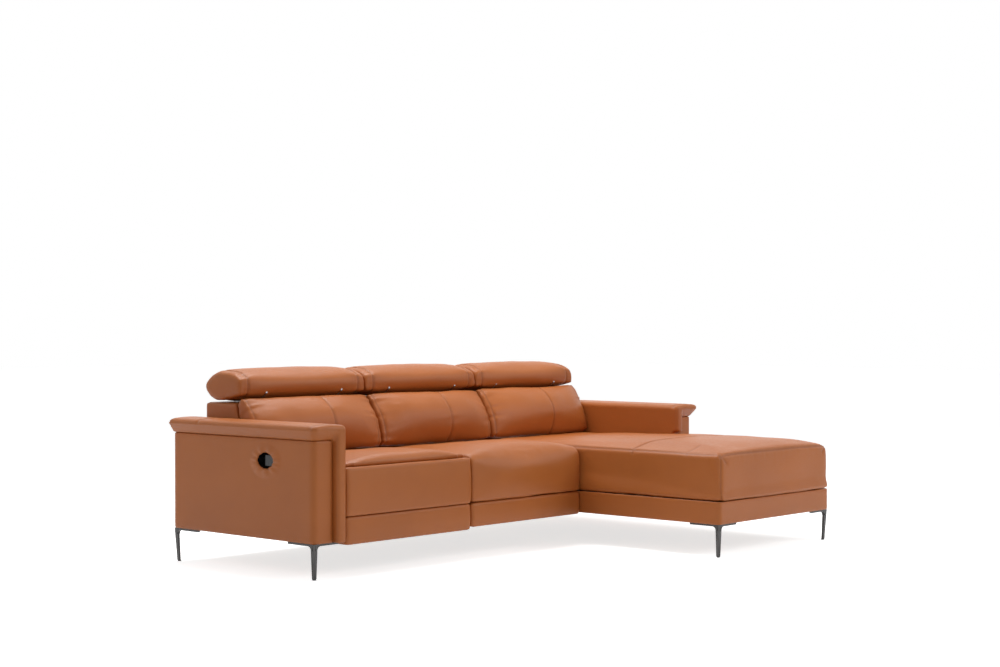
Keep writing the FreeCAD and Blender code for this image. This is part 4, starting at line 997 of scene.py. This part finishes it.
def flatten_lip(cushion):
    """Lays the underside of the recliner's front lip just above the footrest."""
    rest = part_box("footrest_pad")[1].z + LIP_REST
    body_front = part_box("seat_1_frame")[0].y
    points = points_of(cushion)
    normals = normals_of(cushion)
    under = (points[:, 1] < body_front - LIP_SETBACK) & (points[:, 2] < rest + LIP_HEIGHT)
    under &= normals[:, 2] < LIP_SLOPE
    points[under, 2] = rest
    set_points(cushion, points)


def make_seats():
    """The two seat cushions and the padded fronts below them."""
    for number, body in ((1, "recliner_seat"), (2, "sofa")):
        node = f"seat_{number}_cushion"
        cushion = pad(node, ("-z", "+y", "-x", "+x"))
        soft_dents(cushion, depth=0.0035, size=0.16, seed=number)
        if number == 1:
            flatten_lip(cushion)
        upholster(cushion, node, body)
    for node, body in (
        ("footrest_pad", "footrest_body"),
        ("footrest_band", "footrest_body"),
        ("seat_2_band", "sofa"),
    ):
        front = skin(node, rounds=4)
        if node == "footrest_pad":
            stretch(front, "+z", PAD_RAISE, reach=0.03)
        else:
            stretch(front, "+z", BAND_RAISE, reach=0.04)
        upholster(front, node, body)


def make_chaise():
    """The chaise's cushion with its border seam, and the band round its base."""
    node = "chaise_cushion"
    low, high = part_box(node)
    cushion = pad(node, ("-z", "+y"), voxel=CHAISE_VOXEL)
    soft_dents(cushion, depth=0.003, size=0.22, seed=3)
    tree = tree_of(cushion)
    top = high.z - CHAISE_SEAM_DROP
    left = low.x + CHAISE_SEAM_INSET
    right = high.x - CHAISE_SEAM_INSET
    front = low.y + CHAISE_SEAM_INSET
    rear = high.y - CHAISE_SEAM_REAR
    arm_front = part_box("right_arm_pad")[0].y
    lines = [
        cast_line(tree, [(left, rear, top), (left, front, top)], (1.0, 0.0, -1.0)),
        cast_line(tree, [(left, front, top), (right, front, top)], (0.0, 1.0, -1.0)),
        cast_line(tree, [(right, front, top), (right, arm_front, top)], (-1.0, 0.0, -1.0)),
        cast_line(tree, [(left, CROSS_SEAM_Y, top), (right, CROSS_SEAM_Y, top)], (0, 0, -1)),
        cast_line(tree, [(left, front, top), (left, front, low.z)], (1.0, 1.0, 0.0)),
        cast_line(tree, [(right, front, top), (right, front, low.z)], (-1.0, 1.0, 0.0)),
    ]
    sew(cushion, lines, gather=0.0012)
    crease_end = (left + CREASE_RUN, CREASE_Y + CREASE_SLANT, top)
    crease = cast_line(tree, [(left, CREASE_Y, top), crease_end], (0, 0, -1))
    # The crease is drawn in and also darkened with painted shade
    sew(cushion, [crease], depth=CREASE_DEPTH)
    upholster(cushion, node, "sofa")
    stitch(cushion, "stitches_chaise", lines[:4], "sofa")
    band = skin("chaise_base_band", rounds=3, voxel=BASE_BAND_VOXEL)
    stretch(band, "+z", BAND_RAISE, reach=0.03)
    upholster(band, "chaise_base_band", "sofa")


def make_backs():
    """Each back: its shell, and a cushion with one upright seam and gathered borders."""
    for number in SEATS:
        body = BACK_BODY[number]
        shell = skin(f"back_{number}_cover", rounds=3)
        upholster(shell, f"back_{number}_cover", body)
        node = f"back_{number}_cushion"
        low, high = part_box(node)
        cushion = pad(node, ("-x", "+x"), cap=BACK_FILL_CAP)
        stretch(cushion, "-z", amount=0.009, reach=0.07)
        soft_dents(cushion, depth=0.005, size=0.13, seed=10 + number)
        tree = tree_of(cushion)
        seam_x = (low.x + high.x) / 2 + BACK_SEAM_OFFSET
        seam_top = (seam_x, low.y, high.z - BACK_SEAM_DROP)
        centre = ((low.y + high.y) / 2, (low.z + high.z) / 2)
        lines = [
            cast_line(tree, [seam_top, (seam_x, low.y, low.z)], (0, 1, 0)),
            cast_ring(tree, low.x + BACK_RING_INSET, centre),
            cast_ring(tree, high.x - BACK_RING_INSET, centre),
        ]
        sew(cushion, lines[:1], gather=0.003, gather_reach=0.045, pitch=0.09)
        sew(cushion, lines[1:], gather=0.006, gather_reach=0.035, pitch=0.05)
        upholster(cushion, node, body)
        stitch(cushion, f"stitches_back_{number}", lines[:1], body)


def make_headrests():
    """Three headrests with a seam round each end."""
    for number in SEATS:
        body = f"headrest_body_{number}"
        node = f"headrest_{number}"
        low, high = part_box(node)
        cushion = pad(node, ("-x", "+x"), cap=HEADREST_FILL_CAP, voxel=HEADREST_VOXEL)
        soft_dents(cushion, depth=0.002, size=0.12, seed=20 + number)
        tree = tree_of(cushion)
        centre = ((low.y + high.y) / 2, (low.z + high.z) / 2)
        lines = [
            cast_ring(tree, low.x + HEADREST_RING_INSET, centre),
            cast_ring(tree, high.x - HEADREST_RING_INSET, centre),
        ]
        sew(cushion, lines, gather=0.0018, pitch=0.04)
        upholster(cushion, node, body)
        stitch(cushion, f"stitches_headrest_{number}", lines, body)


def make_frame_finishes():
    """Finishes of the timber, straps, steel, plastic and legs, by the record's material slots."""
    shown = {}
    for part in frame["record"]["subparts"]:
        shown.setdefault(part["material_slot"], []).append(part["node"])
    for finish in ("timber", "webbing", "black_steel", "zinc_steel", "dark_metal", "black_plastic"):
        paint_nodes(finish, shown[finish])
    paint_nodes("leather", ["base_rear_panels"])


# Stage


def make_camera():
    """The camera at the photograph's angle."""
    data = bpy.data.cameras.new("camera")
    data.lens = CAMERA_LENS
    data.sensor_width = CAMERA_SENSOR
    data.clip_end = CAMERA_REACH
    camera = bpy.data.objects.new("camera", data)
    bpy.context.scene.collection.objects.link(camera)
    camera.location = CAMERA_PLACE
    camera.rotation_euler = (math.radians(90 + CAMERA_PITCH), 0.0, math.radians(-CAMERA_YAW))
    bpy.context.scene.camera = camera


def add_lamp(name, place, target, size, power):
    """A square soft lamp that faces a point."""
    data = bpy.data.lights.new(name, "AREA")
    data.shape = "SQUARE"
    data.size = size
    data.energy = power
    lamp = bpy.data.objects.new(name, data)
    bpy.context.scene.collection.objects.link(lamp)
    lamp.location = place
    way = Vector(target) - Vector(place)
    lamp.rotation_euler = way.to_track_quat("-Z", "Y").to_euler()


def seen_directly(nodes, links):
    """A node that gives 1 for what is seen directly, in a mirror or through glass."""
    path = nodes.new("ShaderNodeLightPath")
    first = math_node(nodes, "MAXIMUM")
    both = math_node(nodes, "MAXIMUM")
    wire(
        links,
        (path, "Is Camera Ray", first, 0),
        (path, "Is Glossy Ray", first, 1),
        (first, "Value", both, 0),
        (path, "Is Transmission Ray", both, 1),
    )
    return both


def make_world():
    """A soft grey room whose background shows white."""
    world = bpy.data.worlds.new("studio")
    bpy.context.scene.world = world
    world.use_nodes = True
    nodes = world.node_tree.nodes
    links = world.node_tree.links
    nodes.clear()
    room = value_node(nodes, "ShaderNodeBackground", Color=(1, 1, 1, 1), Strength=ROOM_LIGHT)
    white = value_node(nodes, "ShaderNodeBackground", Color=(1, 1, 1, 1), Strength=1.0)
    mix = nodes.new("ShaderNodeMixShader")
    output = nodes.new("ShaderNodeOutputWorld")
    wire(
        links,
        (seen_directly(nodes, links), "Value", mix, 0),
        (room, "Background", mix, 1),
        (white, "Background", mix, 2),
        (mix, "Shader", output, "Surface"),
    )


def make_floor():
    """A pale floor that shows white and keeps the sofa's shadow."""
    shape = bmesh.new()
    bmesh.ops.create_grid(
        shape, x_segments=FLOOR_CELLS, y_segments=FLOOR_CELLS, size=FLOOR_HALF_SIZE
    )
    mesh = bpy.data.meshes.new("floor")
    shape.to_mesh(mesh)
    shape.free()
    floor = new_piece("floor", mesh)
    made, shader, nodes, links = start_material("pale_floor")
    shader.inputs["Base Color"].default_value = (FLOOR_TONE, FLOOR_TONE, FLOOR_TONE, 1.0)
    shader.inputs["Roughness"].default_value = 0.9
    shader.inputs["Specular IOR Level"].default_value = 0.1
    shader.inputs["Emission Color"].default_value = (1.0, 1.0, 1.0, 1.0)
    glow = math_node(nodes, "MULTIPLY", FLOOR_GLOW)
    wire(
        links,
        (seen_directly(nodes, links), "Value", glow, 0),
        (glow, "Value", shader, "Emission Strength"),
    )
    mesh.materials.append(made)


def make_stage():
    """Camera, floor, room and lamps."""
    make_camera()
    make_world()
    make_floor()
    for name, (place, target, size, power) in LAMPS.items():
        add_lamp(name, place, target, size, power)
    bpy.context.scene.view_settings.view_transform = "Standard"


# Operators


class SOFA_OT_stage(bpy.types.Operator):
    """Set up the camera, the floor and the lamps"""

    bl_idname = "sofa.stage"
    bl_label = "Stage"

    def execute(self, context):
        make_stage()
        return {"FINISHED"}


class SOFA_OT_arms(bpy.types.Operator):
    """Upholster both arms"""

    bl_idname = "sofa.arms"
    bl_label = "Arms"

    def execute(self, context):
        make_arms()
        return {"FINISHED"}


class SOFA_OT_seats(bpy.types.Operator):
    """Upholster the two seats, the footrest and the fronts"""

    bl_idname = "sofa.seats"
    bl_label = "Seats"

    def execute(self, context):
        make_seats()
        return {"FINISHED"}


class SOFA_OT_chaise(bpy.types.Operator):
    """Upholster the chaise"""

    bl_idname = "sofa.chaise"
    bl_label = "Chaise"

    def execute(self, context):
        make_chaise()
        return {"FINISHED"}


class SOFA_OT_backs(bpy.types.Operator):
    """Upholster the three backs"""

    bl_idname = "sofa.backs"
    bl_label = "Backs"

    def execute(self, context):
        make_backs()
        return {"FINISHED"}


class SOFA_OT_headrests(bpy.types.Operator):
    """Upholster the three headrests"""

    bl_idname = "sofa.headrests"
    bl_label = "Headrests"

    def execute(self, context):
        make_headrests()
        return {"FINISHED"}


class SOFA_OT_frame_finishes(bpy.types.Operator):
    """Give the timber, straps, steel, plastic and legs their finishes"""

    bl_idname = "sofa.frame_finishes"
    bl_label = "Frame and legs"

    def execute(self, context):
        make_frame_finishes()
        return {"FINISHED"}


class SOFA_PT_panel(bpy.types.Panel):
    """Lists the sofa's settings and steps"""

    bl_label = "Corner sofa"
    bl_space_type = "VIEW_3D"
    bl_region_type = "UI"
    bl_category = "Sofa"

    def draw(self, context):
        scene = context.scene
        for group in (scene.sofa_leather, scene.sofa_padding, scene.sofa_seams):
            box = self.layout.box()
            for name in group.__annotations__:
                box.prop(group, name)
        for operator in OPERATORS:
            self.layout.operator(operator.bl_idname)


SETTINGS = {
    "sofa_leather": LeatherSettings,
    "sofa_padding": PaddingSettings,
    "sofa_seams": SeamSettings,
}
OPERATORS = (
    SOFA_OT_stage,
    SOFA_OT_arms,
    SOFA_OT_seats,
    SOFA_OT_chaise,
    SOFA_OT_backs,
    SOFA_OT_headrests,
    SOFA_OT_frame_finishes,
)
CLASSES = (*SETTINGS.values(), *OPERATORS, SOFA_PT_panel)


def register():
    for cls in CLASSES:
        bpy.utils.register_class(cls)
    for name, cls in SETTINGS.items():
        setattr(bpy.types.Scene, name, bpy.props.PointerProperty(type=cls))


def unregister():
    for name in SETTINGS:
        delattr(bpy.types.Scene, name)
    for cls in reversed(CLASSES):
        bpy.utils.unregister_class(cls)


def main():
    register()
    for operator in OPERATORS:
        group, step = operator.bl_idname.split(".")
        getattr(getattr(bpy.ops, group), step)()


if __name__ == "__main__":
    main()
